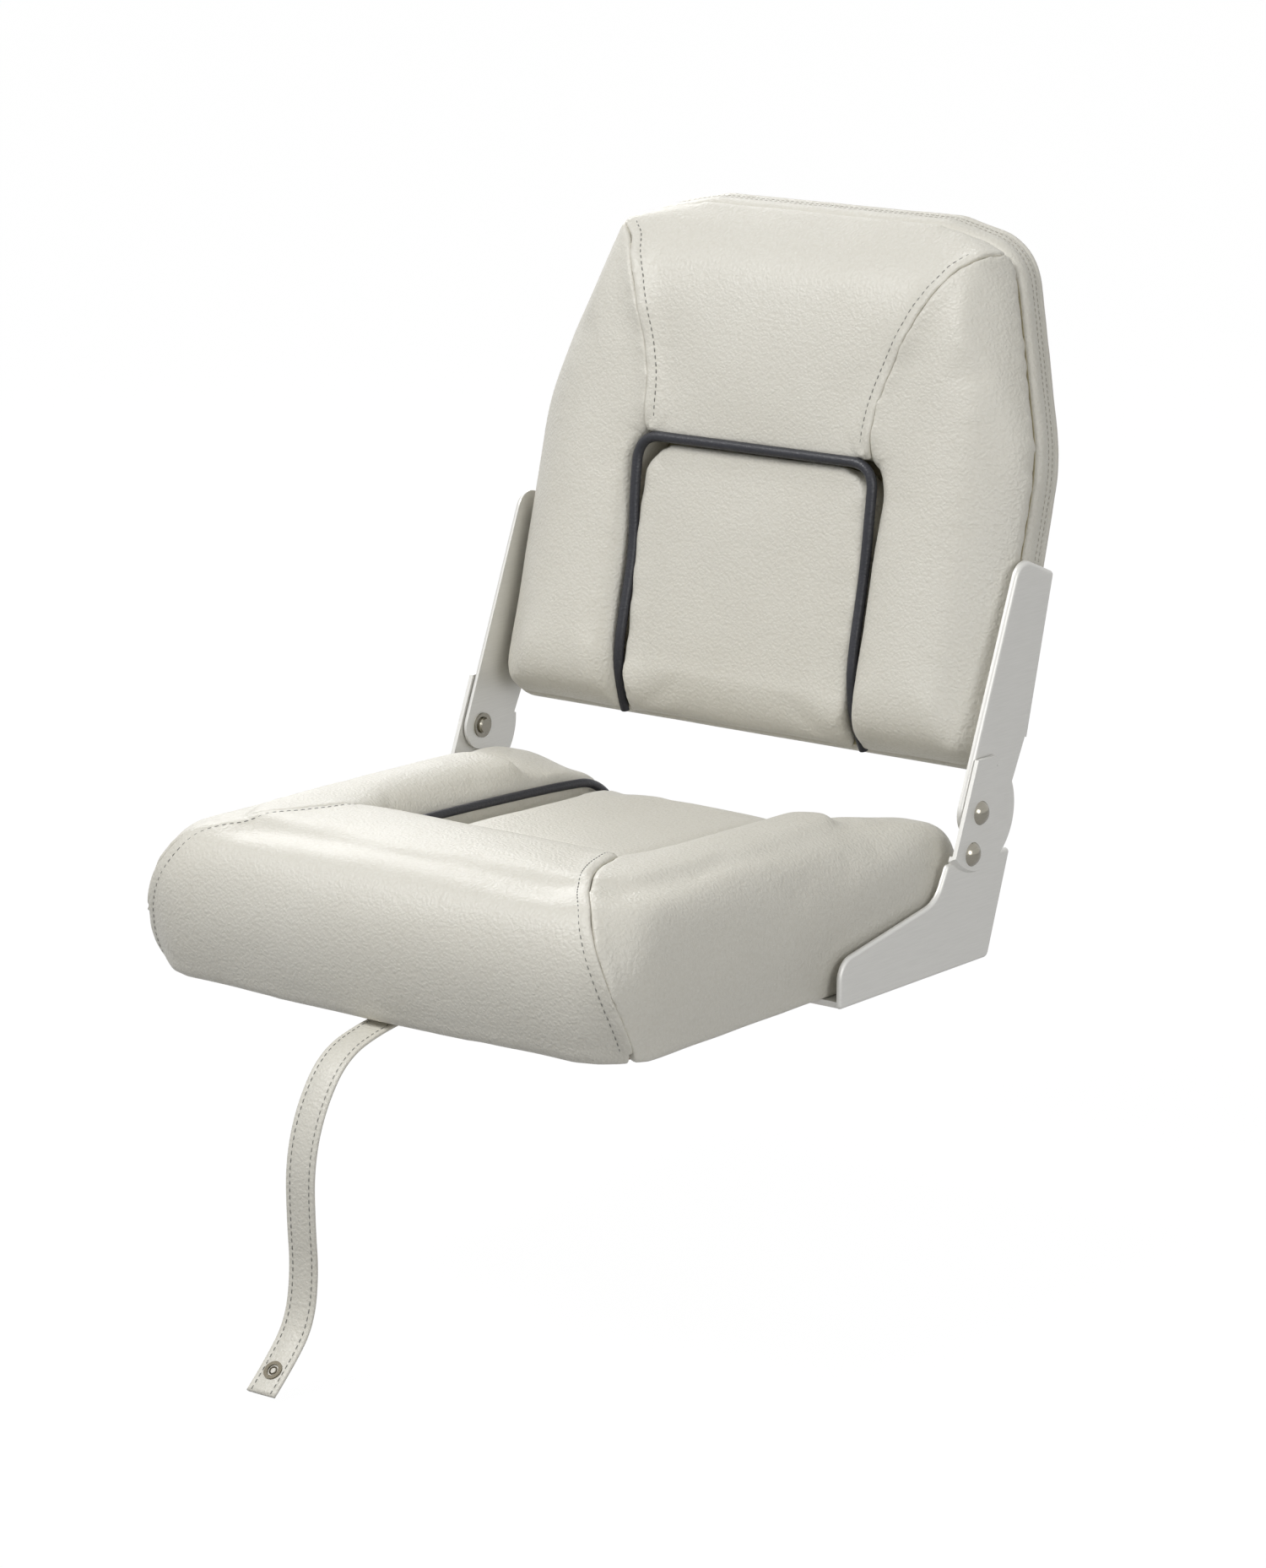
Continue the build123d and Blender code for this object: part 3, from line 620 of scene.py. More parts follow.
def finish_cover(piece, seed, faced):
    """Adds puckers and waves, lifts the cover beside its seams and draws it towards them."""
    pad = piece["node"].endswith("centre_pad")
    bm = piece_bmesh(piece)
    bm.normal_update()
    shift = Vector((seed * 3.7, seed * 1.3, seed * 2.1))
    for vertex in bm.verts:
        place, index, gap = seams.find(vertex.co)
        near = fading(gap, lift_reach)
        lift, pad_lift, pull = seam_moves[index]
        aside = place - vertex.co
        aside -= faced[index] * aside.dot(faced[index])
        ripple = noise.noise(Vector((seam_along[index] * pucker_pitch, gap * pucker_spread, seed)))
        wave = noise.noise(vertex.co * wave_pitch + shift)
        pucker = pucker_height * fading(gap, pucker_reach) * ripple
        vertex.co += vertex.normal * (pucker + wave_height * wave)
        vertex.co += faced[index] * (pad_lift if pad else lift) * near
        vertex.co += aside.normalized() * pull * near * min(1, aside.length / pull_start)
        corner_gap = (Vector((abs(vertex.co.x), *vertex.co[1:])) - corner_place).length
        vertex.co.z += corner_lift * fading(corner_gap, corner_reach)
    for face in bm.faces:
        face.smooth = True
    keep_shape(bm, piece)


def ramp(value, start, end):
    """A smooth step: 0 at start, 1 at end."""
    share = min(1, max(0, (value - start) / (end - start)))
    return share * share * (3 - 2 * share)


end_drop = 8 * MM
end_rise = 4 * MM


def ease_bolster_end(piece):
    """Draws down the inner rear end of a seat bolster, where its cover is pulled tight."""
    for vertex in piece.data.vertices:
        x, y, z = vertex.co / MM
        rear = ramp(y, 90, 165) * ramp(z, 30, 75)
        vertex.co.z -= (end_drop * ramp(x, 168, 118) - end_rise * ramp(x, 165, 196)) * rear


def mirror_piece(piece, name):
    """A mirror image of a piece across the seat's middle, with its faces turned right."""
    bm = piece_bmesh(piece)
    bmesh.ops.scale(bm, verts=bm.verts, vec=(-1, 1, 1))
    bmesh.ops.reverse_faces(bm, faces=bm.faces)
    return make_piece(bm, name)


# %% Finish the covers
covers = {}
for piece in blanks:
    subdivide_cover(piece)
faced = seam_facing(blanks)
for seed, piece in enumerate(blanks):
    finish_cover(piece, seed, faced)
    covers[piece["node"]] = piece
ease_bolster_end(covers["seat_bolster_right"])
for side in ("seat_bolster", "back_bolster"):
    left = mirror_piece(covers[side + "_right"], side + "_left_cover")
    cushion_bodies[left.name] = cushion_bodies[side + "_right_cover"]
    covers[side + "_left"] = left
for node, piece in covers.items():
    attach(piece, cushion_bodies[piece.name])
    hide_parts(node)
print("covers:", {node: len(piece.data.polygons) for node, piece in covers.items()})

# %% [markdown]
# ## Seam laps and stitches
# At the curved seams one panel laps over the other and is stitched down 6 mm from its edge.
# The lap is a narrow ribbon laid on the finished cover: for each point of the seam, rays are
# dropped onto the cover beside it, so the ribbon follows the cover's real shape. Its inner
# edge dives below the surface. The stitches are small beads set in the ribbon's groove. A bump
# map could draw both, but a real edge catches the light and shows in the outline.

# %% Find the seam between two covers
settle_steps = 4
even_steps = 12
seam_reach = 9 * MM


def eased(row_before, row, row_after):
    """A row of points, each drawn towards the points before and after it."""
    return [(a + b * 2 + c) / 4 for a, b, c in zip(row_before, row, row_after)]


def settle_on_seam(guide, lap_tree, other_tree):
    """Moves a guide into the valley between two covers; gives places, normals and sides."""
    line = even_line(smooth_line(guide), seam_step)
    for _ in range(settle_steps):
        line = [
            (lap_tree.find_nearest(point)[0] + other_tree.find_nearest(point)[0]) / 2 for point in line
        ]
    for _ in range(even_steps):
        line = [line[0]] + eased(line, line[1:], line[2:]) + [line[-1]]
    places = []
    for i, point in enumerate(line):
        on_lap = lap_tree.find_nearest_range(point, seam_reach)
        on_other = other_tree.find_nearest_range(point, seam_reach)
        normal = sum((hit[1] for hit in on_lap + on_other), Vector())
        ahead = tangent(line, i)
        normal = (normal - ahead * normal.dot(ahead)).normalized()
        towards = sum((hit[0] for hit in on_lap), Vector()) / max(1, len(on_lap))
        towards -= sum((hit[0] for hit in on_other), Vector()) / max(1, len(on_other))
        side = normal.cross(ahead)
        side *= 1 if side.dot(towards) > 0 else -1
        places.append((point, normal, side.normalized()))
    return places


ray_reach = 14 * MM


def ray_height(tree, point, normal):
    """How far above a point, along a normal, the cover lies."""
    hit = tree.ray_cast(point + normal * ray_reach, -normal, 2 * ray_reach)
    return ray_reach - hit[3] if hit[0] is not None else None


# %% Lay laps and stitches
lap_profile = [
    (-0.9, -4.5),
    (-1.1, -1.6),
    (-0.7, -0.3),
    (0.3, 0.3),
    (2.0, 0.5),
    (4.4, 0.5),
    (5.6, 0.25),
    (6.4, -0.05),
    (7.2, 0.18),
    (8.4, -0.4),
]
stitch_column = [across for across, _ in lap_profile].index(6.4)
stitch_rise = 0.15 * MM
stitch_margin = 3
lap_sink = 1.6 * MM
lap_ease_steps = 14
start_fade, end_fade = 8, 4
near_probe, far_probe = 3.5 * MM, 7.5 * MM


def lap_rows(places, tree):
    """Rows of ribbon points across a seam, one row for each place along it."""
    rows = []
    for i, (point, normal, side) in enumerate(places):
        ends = min(1, i / start_fade, (len(places) - 1 - i) / end_fade)
        near = ray_height(tree, point + side * near_probe, normal) or 0
        far = ray_height(tree, point + side * far_probe, normal)
        far = near if far is None else far
        slope = (far - near) / (far_probe - near_probe)
        row = []
        for across, rise in lap_profile:
            base = near + slope * (across * MM - near_probe)
            if across * MM > near_probe:
                base = ray_height(tree, point + side * across * MM, normal) or base
            lift = rise * MM - lap_sink * (1 - ends)
            row.append(point + side * across * MM + normal * (base + lift))
        rows.append(row)
    return rows


def ease_rows(rows):
    """Smooths rows along the seam only."""
    for _ in range(lap_ease_steps):
        middle = [eased(*three) for three in zip(rows, rows[1:], rows[2:])]
        rows = [rows[0]] + middle + [rows[-1]]
    return rows


def stitch_row(bm, line, ups, pitch, length, girth):
    """Adds one small bead of thread per stitch along a line, each turned along it."""
    steps = even_line(line, pitch)
    lookup = point_tree(line)
    for a, b in zip(steps, steps[1:]):
        middle = (a + b) / 2
        ahead = (b - a).normalized()
        up = ups[lookup.find(middle)[1]]
        across = up.cross(ahead).normalized()
        turn = Matrix((ahead, across, ahead.cross(across))).transposed().to_4x4()
        size = Matrix.Diagonal((length / 2, girth / 2, girth / 2, 1))
        place = Matrix.Translation(middle) @ turn @ size
        bmesh.ops.create_uvsphere(bm, u_segments=6, v_segments=4, radius=1, matrix=place)


def lapped_seam(name, guide, lap_piece, other_piece, body, trim):
    """A lap and its row of stitches along a seam, trimmed at its start, riding on a body."""
    lap_tree = surface_tree(piece_bmesh(lap_piece))
    other_tree = surface_tree(piece_bmesh(other_piece))
    places = settle_on_seam(guide, lap_tree, other_tree)[trim:]
    rows = ease_rows(lap_rows(places, lap_tree))
    bm = laid_grid(rows, closed=False)
    bmesh.ops.recalc_face_normals(bm, faces=bm.faces)
    probe = bm.faces[:][len(bm.faces) // 2]
    if probe.normal.dot(places[len(places) // 2][1]) < 0:
        bmesh.ops.reverse_faces(bm, faces=bm.faces)
    lap = make_piece(bm, name + "_lap")
    normals = [normal for _, normal, _ in places]
    groove = [row[stitch_column] + normal * stitch_rise for row, normal in zip(rows, normals)]
    stitched = slice(stitch_margin, -stitch_margin)
    bm = bmesh.new()
    stitch_row(bm, groove[stitched], normals[stitched], 4.9 * MM, 3.5 * MM, 0.95 * MM)
    stitches = make_piece(bm, name + "_stitches")
    for piece in (lap, stitches):
        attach(piece, body)
    return lap, stitches


laps, grey_stitches = [], []
for hand, mirror in hands.items():
    for name, guide, lap_node, other_node, body, trim in (
        ("seat_seam_", front_seam_guide, "seat_front_roll", "seat_bolster_", "seat_base", 8),
        ("head_seam_", head_seam_guide, "back_headrest_pad", "back_bolster_", "backrest", 0),
    ):
        other = covers[other_node + hand]
        lap, row = lapped_seam(name + hand, mirror(guide), covers[lap_node], other, body, trim)
        laps.append(lap)
        grey_stitches.append(row)
print("laps:", [len(lap.data.polygons) for lap in laps])

# %% [markdown]
# ## Piping
# Piping is a thin cord wrapped in a dark vinyl strip and caught in the seam. A section could be
# laid along the line as for the strap, but a curve with a round bevel makes it in one go. It
# becomes a mesh at once, because its finish reads the mesh.

# %% Make the piping
def tube(name, guide, girth):
    """A round tube along a smooth line, with closed ends."""
    curve = spline_curve("pipe", guide)
    curve.data.bevel_depth = girth / 2
    curve.data.bevel_resolution = 5
    curve.data.use_fill_caps = True
    mesh = bpy.data.meshes.new_from_object(curve)
    bpy.data.objects.remove(curve)
    for polygon in mesh.polygons:
        polygon.use_smooth = True
    mesh.name = name
    return new_object(name, mesh)


seat_piping_girth = 6.2 * MM
back_piping_girth = 7.2 * MM
pipes = []
for hand, mirror in hands.items():
    pipe = tube("seat_piping_" + hand + "_cord", mirror(seat_piping_guide), seat_piping_girth)
    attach(pipe, "seat_base")
    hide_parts("seat_piping_" + hand)
    pipes.append(pipe)
pipe = tube("back_piping_cord", back_piping_guide, back_piping_girth)
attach(pipe, "backrest")
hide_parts("back_piping")
pipes.append(pipe)
print("piping cords:", len(pipes))

# %% [markdown]
# ## Boxing band
# The band is the strip of vinyl round the backrest's edge. It has a thin welt at the rear,
# two rows of stitches and a soft front edge that turns in behind the cushions. A section is
# carried round the outline, and the outline shrinks a little towards the front at the top. The
# outline's own points are used rather than a bevelled curve, because a curve can't shrink so.

# %% Outline of the backrest
half_width, bottom, shoulder_up = 206.5, 27, 238
brow_half, brow_up = 160.5, 381
crown_half, top = 100, 394.5
band_width = 24
top_draw = 8.2
outline_points = [
    (-half_width, bottom),
    (half_width, bottom),
    (half_width, shoulder_up),
    (brow_half, brow_up),
    (crown_half, top),
    (-crown_half, top),
    (-brow_half, brow_up),
    (-half_width, shoulder_up),
]
outline_rounds = [20, 20, 150, 49, 50, 50, 49, 150]
edge_draws = [0, 0, 0.1, 1, 1, 1, 0.1, 0]


def inset_corners(points, insets):
    """The corners of a closed outline whose edges move inwards, each by its own inset."""
    lines = []
    for a, b, inset in zip(points, points[1:] + points[:1], insets):
        ahead = (Vector(b) - Vector(a)).normalized()
        lines.append((Vector(a) + Vector((-ahead.y, ahead.x)) * inset, ahead))
    corners = []
    for (start, ahead), (other, across) in zip(lines[-1:] + lines[:-1], lines):
        gap = other - start
        step = (gap.x * across.y - gap.y * across.x) / (ahead.x * across.y - ahead.y * across.x)
        corners.append(start + ahead * step)
    return corners


arc_steps = 10
edge_steps = 14


def rounded_ring(points, rounds):
    """Points round a closed outline with rounded corners, as many on each corner and edge."""
    stops = []
    for i, (point, radius) in enumerate(zip(points, rounds)):
        to_before = (points[i - 1] - point).normalized()
        to_after = (points[(i + 1) % len(points)] - point).normalized()
        half = to_before.angle(to_after) / 2
        reach = radius / math.tan(half)
        centre = point + (to_before + to_after).normalized() * radius / math.sin(half)
        start, end = point + to_before * reach - centre, point + to_after * reach - centre
        turn = start.angle(end)
        arc = []
        for step in range(arc_steps + 1):
            share = step / arc_steps
            spoke = start * math.sin((1 - share) * turn) + end * math.sin(share * turn)
            arc.append(centre + spoke / math.sin(turn))
        stops.append(arc)
    ring = []
    for arc, following in zip(stops, stops[1:] + stops[:1]):
        ring += arc
        ring += [arc[-1].lerp(following[0], step / edge_steps) for step in range(1, edge_steps)]
    return ring


def band_ring(ahead, inset=0):
    """The outline's ring, this far ahead of the rear edge and inset by so much, in mm."""
    drawn = top_draw * ahead / band_width
    corners = inset_corners(outline_points, [drawn * share + inset for share in edge_draws])
    rounds = [max(least_round, radius - inset) for radius in outline_rounds]
    return rounded_ring(corners, rounds)


least_round = 4
rear_depth = 43
print("outline points:", len(band_ring(0)))

# %% Carry the band's section round
band_section = [
    (1.0, -3.1),
    (0.1, -1.6),
    (0.4, -0.2),
    (1.6, 0.5),
    (3.0, 0.55),
    (4.2, 0.1),
    (4.9, -0.35),
    (5.8, 0.1),
    (7.0, 0.3),
    (8.2, -0.05),
    (9.4, 0.3),
    (11.4, 0.35),
    (12.6, 0.0),
    (13.8, 0.4),
    (17.0, 0.7),
    (20.0, 0.3),
    (22.3, -1.0),
    (23.6, -3.0),
    (23.2, -5.2),
]
band_stitch_places = (8.2, 12.6)
band_stitch_rise = 0.15
ripple_height = 0.35
ripple_pitch = 60
ripple_shift = 0.11


def outward(ring, i):
    along = (ring[(i + 1) % len(ring)] - ring[i - 1]).normalized()
    return Vector((along.y, -along.x))


def band_loop(ahead, rise):
    """A loop round the backrest, in metres, with the little waves of stretched vinyl."""
    ring = band_ring(ahead)
    loop = []
    for i, point in enumerate(ring):
        spot = point + outward(ring, i) * rise
        place = back_place(spot.x, spot.y, rear_depth - ahead)
        ripple = noise.noise(place * ripple_pitch + Vector((ahead * ripple_shift, 0, 0)))
        spot += outward(ring, i) * (ripple * ripple_height)
        loop.append(back_place(spot.x, spot.y, rear_depth - ahead))
    return loop


band_loops = [band_loop(ahead, rise) for ahead, rise in band_section]
band = make_piece(ringed(band_loops + band_loops[:1]), "boxing_band")
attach(band, "backrest")
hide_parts("back_boxing_band")

# %% Stitch the band
bm = bmesh.new()
for ahead in band_stitch_places:
    loop = band_loop(ahead, band_stitch_rise)
    ring = band_ring(ahead)
    ways = [outward(ring, i) for i in range(len(ring))]
    ups = [Vector((way.x, 0, 0)) + back_up * way.y for way in ways]
    stitch_row(bm, loop + loop[:1], ups + ups[:1], 4.2 * MM, 3.0 * MM, 0.8 * MM)
band_stitches = make_piece(bm, "band_stitches")
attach(band_stitches, "backrest")
print("band faces:", len(band.data.polygons), "stitch faces:", len(band_stitches.data.polygons))

# %% [markdown]
# ## Rear cover and foam
# The rear of the backrest is a plain panel of vinyl stretched over the board. It is a set of
# rings joined in order. The outer rings are the outline, each inset a little more, and lie flat
# under the hinge arms with a pressed line near the edge. The inner ones shrink towards the middle
# and crown gently. One flat face would be simpler, but stretched vinyl is never flat. The foam
# behind the cushions is a plain block, so the frame's solid is used as it is.

# %% Make the rear cover
cover_section = [
    (3.2, 41.3),
    (3.2, 42.4),
    (4.2, 42.9),
    (5.2, 43.0),
    (9.6, 43.0),
    (10.4, 42.5),
    (11.2, 43.0),
]
cover_crown = [
    (0.95, 43.0),
    (0.88, 43.0),
    (0.8, 43.4),
    (0.7, 43.9),
    (0.58, 44.5),
    (0.44, 45.0),
    (0.3, 45.3),
    (0.14, 45.5),
]
cover_centre = Vector((0, 205))


def cover_loop(ring, depth):
    return [back_place(spot.x, spot.y, depth) for spot in ring]


cover_loops = [cover_loop(band_ring(0, inset), depth) for inset, depth in cover_section]
inner_ring = band_ring(0, cover_section[-1][0])
for size, depth in cover_crown:
    cover_loops.append(cover_loop([cover_centre.lerp(spot, size) for spot in inner_ring], depth))
rear_cover = make_piece(ringed(cover_loops), "rear_cover_panel")
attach(rear_cover, "backrest")
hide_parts("back_rear_cover")
print("rear cover faces:", len(rear_cover.data.polygons))

# %% Take over the foam
foam = make_piece(node_mesh("back_foam"), "foam_slab", smooth=False)
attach(foam, "backrest")
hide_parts("back_foam")
print("foam faces:", len(foam.data.polygons))

# %% [markdown]
# ## Stitches of the strap
# The strap's hems are sewn down along both edges, and the thread shows on both faces. The rows
# use the same bead as the seams, because the strap is seen from close by where it hangs free.

# %% Stitch the strap
bm = bmesh.new()
strap_face = strap_thick / 2 - stitch_dip / 2
edge_reach = strap_width / 2 - strap_thick / 2 - strap_hem
stitch_run = even_line(strap_line, seam_step)[4:]
for hand in right_and_left:
    for face in right_and_left:
        ups = [strap_up(stitch_run, i) * face for i in range(len(stitch_run))]
        aside = Vector((hand * edge_reach, 0, 0))
        line = [point + aside + up * strap_face for point, up in zip(stitch_run, ups)]
        stitch_row(bm, line, ups, 4.8 * MM, 3.4 * MM, 0.85 * MM)
strap_stitches = make_piece(bm, "strap_stitches")
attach(strap_stitches, "seat_base")
print("strap stitch faces:", len(strap_stitches.data.polygons))

# %% [markdown]
# ## Finishes
# Effects that several finishes share are node groups, built once. The groups put out values
# that change over the surface, and each material keeps its own shader. Painted images would do
# too, but they need a map of each piece, while object coordinates are there already and keep the
# pattern on the piece when it moves.

# %% Helpers for materials
def srgb(red, green, blue):
    """A screen colour, 0 to 255, as the linear colour that a shader takes."""
    def linear(value):
        value /= 255
        return value / 12.92 if value <= 0.04045 else ((value + 0.055) / 1.055) ** 2.4

    return (linear(red), linear(green), linear(blue), 1)


def add_node(tree, kind, inputs, **settings):
    """A shader node with these settings. Each input gets a value or a link from a socket."""
    node = tree.nodes.new("ShaderNode" + kind)
    for setting, value in settings.items():
        setattr(node, setting, value)
    for label, value in inputs.items():
        if isinstance(value, bpy.types.NodeSocket):
            tree.links.new(value, node.inputs[label])
        else:
            node.inputs[label].default_value = value
    return node


def new_group(name, inputs, outputs):
    """A node group with float inputs and outputs, and its two end nodes."""
    group = bpy.data.node_groups.new(name, "ShaderNodeTree")
    for label, value in inputs.items():
        socket = group.interface.new_socket(label, in_out="INPUT", socket_type="NodeSocketFloat")
        socket.default_value = value
    for label in outputs:
        group.interface.new_socket(label, in_out="OUTPUT", socket_type="NodeSocketFloat")
    return group, group.nodes.new("NodeGroupInput"), group.nodes.new("NodeGroupOutput")


def math_node(tree, operation, first, second, clamp=False):
    inputs = {0: first, 1: second}
    return add_node(tree, "Math", inputs, operation=operation, use_clamp=clamp).outputs[0]


def noise_node(tree, coords, scale, detail=3.0, roughness=0.5):
    inputs = {"Vector": coords, "Scale": scale, "Detail": detail, "Roughness": roughness}
    return add_node(tree, "TexNoise", inputs).outputs["Fac"]


def new_material(name, color, roughness, metallic=0.0):
    """A material with these plain values, its tree and its shader."""
    material = bpy.data.materials.new(name)
    material.use_nodes = True
    shader = material.node_tree.nodes["Principled BSDF"]
    shader.inputs["Base Color"].default_value = color
    shader.inputs["Roughness"].default_value = roughness
    shader.inputs["Metallic"].default_value = metallic
    return material, material.node_tree, shader


def bump(tree, shader, height, distance):
    node = add_node(tree, "Bump", {"Height": height, "Distance": distance})
    tree.links.new(node.outputs["Normal"], shader.inputs["Normal"])


def object_coords(tree):
    return add_node(tree, "TexCoord", {}).outputs["Object"]


def tint(tree, shader, factor, light, dark):
    """Lets the base colour change from light to dark by a factor."""
    inputs = {"Factor": factor, "A": light, "B": dark}
    node = add_node(tree, "Mix", inputs, data_type="RGBA")
    tree.links.new(node.outputs["Result"], shader.inputs["Base Color"])


# %% [markdown]
# ## Vinyl and thread
# Seat vinyl is pressed with a fine leather grain: rounded pebbles with duller pits between them.
# A cell pattern, bent a little by noise, gives the pebbles, and serves the bump, the gloss and a
# painted shade that darkens the pits. The grain is far too fine for real geometry. The piping
# wears a finer grain of the same kind, and the thread has slanting bands for its twist.

# %% Grain of pressed vinyl
grain_outputs = ["Height", "Pits", "Tone"]
grain, ends_in, ends_out = new_group("vinyl grain", {"Cells per metre": 700.0}, grain_outputs)
coords = object_coords(grain)
warp = add_node(grain, "TexNoise", {"Vector": coords, "Scale": 180.0})
shift = {0: warp.outputs["Color"], 1: (0.0035, 0.0035, 0.0035), 2: coords}
shifted = add_node(grain, "VectorMath", shift, operation="MULTIPLY_ADD")
spread = {"Vector": shifted.outputs["Vector"], "Scale": ends_in.outputs["Cells per metre"]}
cells = add_node(grain, "TexVoronoi", spread, feature="SMOOTH_F1")
pebble = math_node(grain, "SUBTRACT", 1.0, cells.outputs["Distance"], clamp=True)
soft = noise_node(grain, coords, 900.0)
height = math_node(grain, "ADD", pebble, math_node(grain, "MULTIPLY", soft, 0.5))
grain.links.new(height, ends_out.inputs["Height"])
pits = math_node(grain, "MULTIPLY", cells.outputs["Distance"], 1.1, clamp=True)
grain.links.new(pits, ends_out.inputs["Pits"])
grain.links.new(noise_node(grain, coords, 9.0, detail=4.0, roughness=0.6), ends_out.inputs["Tone"])
print("vinyl grain puts out:", grain_outputs)

# %% Vinyl
def vinyl(name, light, dark, roughness, cells_per_metre=500.0, depth=0.0004):
    """Pressed vinyl: a fine pebble grain, its pits duller and painted darker as shade, with a slow drift
    in tone.
    """
    material, tree, shader = new_material(name, light, roughness)
    pattern = add_node(tree, "Group", {"Cells per metre": cells_per_metre}, node_tree=grain)
    drift = math_node(tree, "MULTIPLY", pattern.outputs["Tone"], 0.6)
    # The pits are painted darker, as painted shade in the hollows of the grain; the drift is the vinyl's
    # own tone.
    pit_shade = math_node(tree, "MULTIPLY", pattern.outputs["Pits"], 0.5)
    tint(tree, shader, math_node(tree, "ADD", drift, pit_shade, clamp=True), light, dark)
    duller = math_node(tree, "MULTIPLY", pattern.outputs["Pits"], 0.12)
    tree.links.new(math_node(tree, "ADD", duller, roughness - 0.04), shader.inputs["Roughness"])
    bump(tree, shader, pattern.outputs["Height"], depth)
    return material


ivory = vinyl("ivory vinyl", srgb(226, 224, 215), srgb(212, 208, 196), 0.42)
navy = vinyl("navy piping vinyl", srgb(43, 44, 51), srgb(31, 32, 39), 0.4, 700.0, 0.0002)
print("vinyls:", ivory.name, "and", navy.name)

# %% Thread
def thread(name, light, dark):
    """Twisted thread: fine slanting bands along each stitch."""
    material, tree, shader = new_material(name, light, 0.6)
    bands = {"Vector": object_coords(tree), "Scale": 550.0, "Distortion": 1.5}
    twist = add_node(tree, "TexWave", bands)
    tint(tree, shader, twist.outputs["Fac"], light, dark)
    bump(tree, shader, twist.outputs["Fac"], 0.0001)
    return material


grey_thread = thread("grey thread", srgb(146, 146, 140), srgb(110, 110, 105))
ivory_thread = thread("ivory thread", srgb(196, 192, 180), srgb(160, 156, 145))
print("threads:", grey_thread.name, "and", ivory_thread.name)

# %% [markdown]
# ## Metal, wood, plastic and foam
# The hinge plates are aluminium with a satin finish, drawn in one direction, with a few specks
# from handling. The rivets, screws and snap are plated or polished. One group of stretched noise
# serves them all, and each metal has its own colours and gloss. The nylon, plywood and foam are
# seen only in gaps and from below, so one noise each is enough.

# %% Wear of metals
wear_outputs = ["Lines", "Specks", "Cloud"]
wear, ends_in, ends_out = new_group("metal wear", {"Lines per metre": 900.0}, wear_outputs)
coords = object_coords(wear)
stretch = add_node(wear, "Mapping", {"Vector": coords, "Scale": (1.0, 0.06, 1.0)})
lines = noise_node(wear, stretch.outputs["Vector"], ends_in.outputs["Lines per metre"])
wear.links.new(lines, ends_out.inputs["Lines"])
dots = add_node(wear, "TexVoronoi", {"Vector": coords, "Scale": 45.0})
spot = math_node(wear, "LESS_THAN", dots.outputs["Distance"], 0.035)
some = add_node(wear, "SeparateColor", {"Color": dots.outputs["Color"]})
chosen = math_node(wear, "GREATER_THAN", some.outputs["Red"], 0.7)
wear.links.new(math_node(wear, "MULTIPLY", spot, chosen), ends_out.inputs["Specks"])
wear.links.new(noise_node(wear, coords, 14.0), ends_out.inputs["Cloud"])
print("metal wear puts out:", wear_outputs)

# %% Metals
def metal(name, light, dark, roughness, cloudy=0.14, metallic=1.0):
    """Metal with fine drawn lines, slow clouds in its gloss and a few small specks."""
    material, tree, shader = new_material(name, light, roughness, metallic)
    pattern = add_node(tree, "Group", {"Lines per metre": 900.0}, node_tree=wear)
    drawn = math_node(tree, "MULTIPLY", pattern.outputs["Lines"], 0.5)
    tint(tree, shader, math_node(tree, "MAXIMUM", drawn, pattern.outputs["Specks"]), light, dark)
    gloss = math_node(tree, "MULTIPLY", pattern.outputs["Cloud"], cloudy)
    tree.links.new(math_node(tree, "ADD", gloss, roughness - cloudy / 2), shader.inputs["Roughness"])
    bump(tree, shader, pattern.outputs["Lines"], 0.00003)
    return material


aluminium = metal("satin aluminium", srgb(230, 229, 225), srgb(206, 205, 200), 0.46, metallic=0.45)
rivet_steel = metal("polished rivet steel", srgb(160, 156, 145), srgb(122, 118, 108), 0.17, cloudy=0.06)
zinc = metal("zinc plated steel", srgb(196, 198, 200), srgb(160, 160, 156), 0.34)
nickel = metal("nickel snap", srgb(128, 122, 108), srgb(96, 90, 78), 0.24, cloudy=0.08)
# The inside of the snap's cup is nickel painted much darker, as painted shade in the socket's hollow.
nickel_painted_shade = metal("nickel painted dark as shade", srgb(78, 72, 60), srgb(50, 46, 38), 0.35)
print("metals:", [made.name for made in (aluminium, rivet_steel, zinc, nickel, nickel_painted_shade)])

# %% Nylon, foam and plywood
nylon, tree, shader = new_material("nylon", srgb(226, 224, 216), 0.5)
cloud = noise_node(tree, object_coords(tree), 120.0)
tint(tree, shader, cloud, srgb(230, 228, 220), srgb(210, 206, 196))
bump(tree, shader, cloud, 0.0001)

foam_finish, tree, shader = new_material("foam", srgb(196, 188, 158), 0.95)
pores = noise_node(tree, object_coords(tree), 800.0, detail=4.0, roughness=0.7)
tint(tree, shader, pores, srgb(206, 198, 168), srgb(170, 160, 128))
bump(tree, shader, pores, 0.0008)

plywood, tree, shader = new_material("plywood", srgb(190, 160, 118), 0.7)
grown = {"Vector": object_coords(tree), "Scale": (1.0, 0.08, 6.0)}
stretch = add_node(tree, "Mapping", grown)
fibre = noise_node(tree, stretch.outputs["Vector"], 160.0, detail=6.0, roughness=0.65)
tint(tree, shader, fibre, srgb(206, 176, 132), srgb(150, 116, 76))
bump(tree, shader, fibre, 0.0003)
print("plain finishes:", nylon.name, foam_finish.name, plywood.name)

# %% Give each piece its finish
def dress(pieces, material):
    for piece in pieces:
        piece.data.materials.clear()
        piece.data.materials.append(material)


def named(*starts):
    return [node for name, node in nodes.items() if name.startswith(starts)]


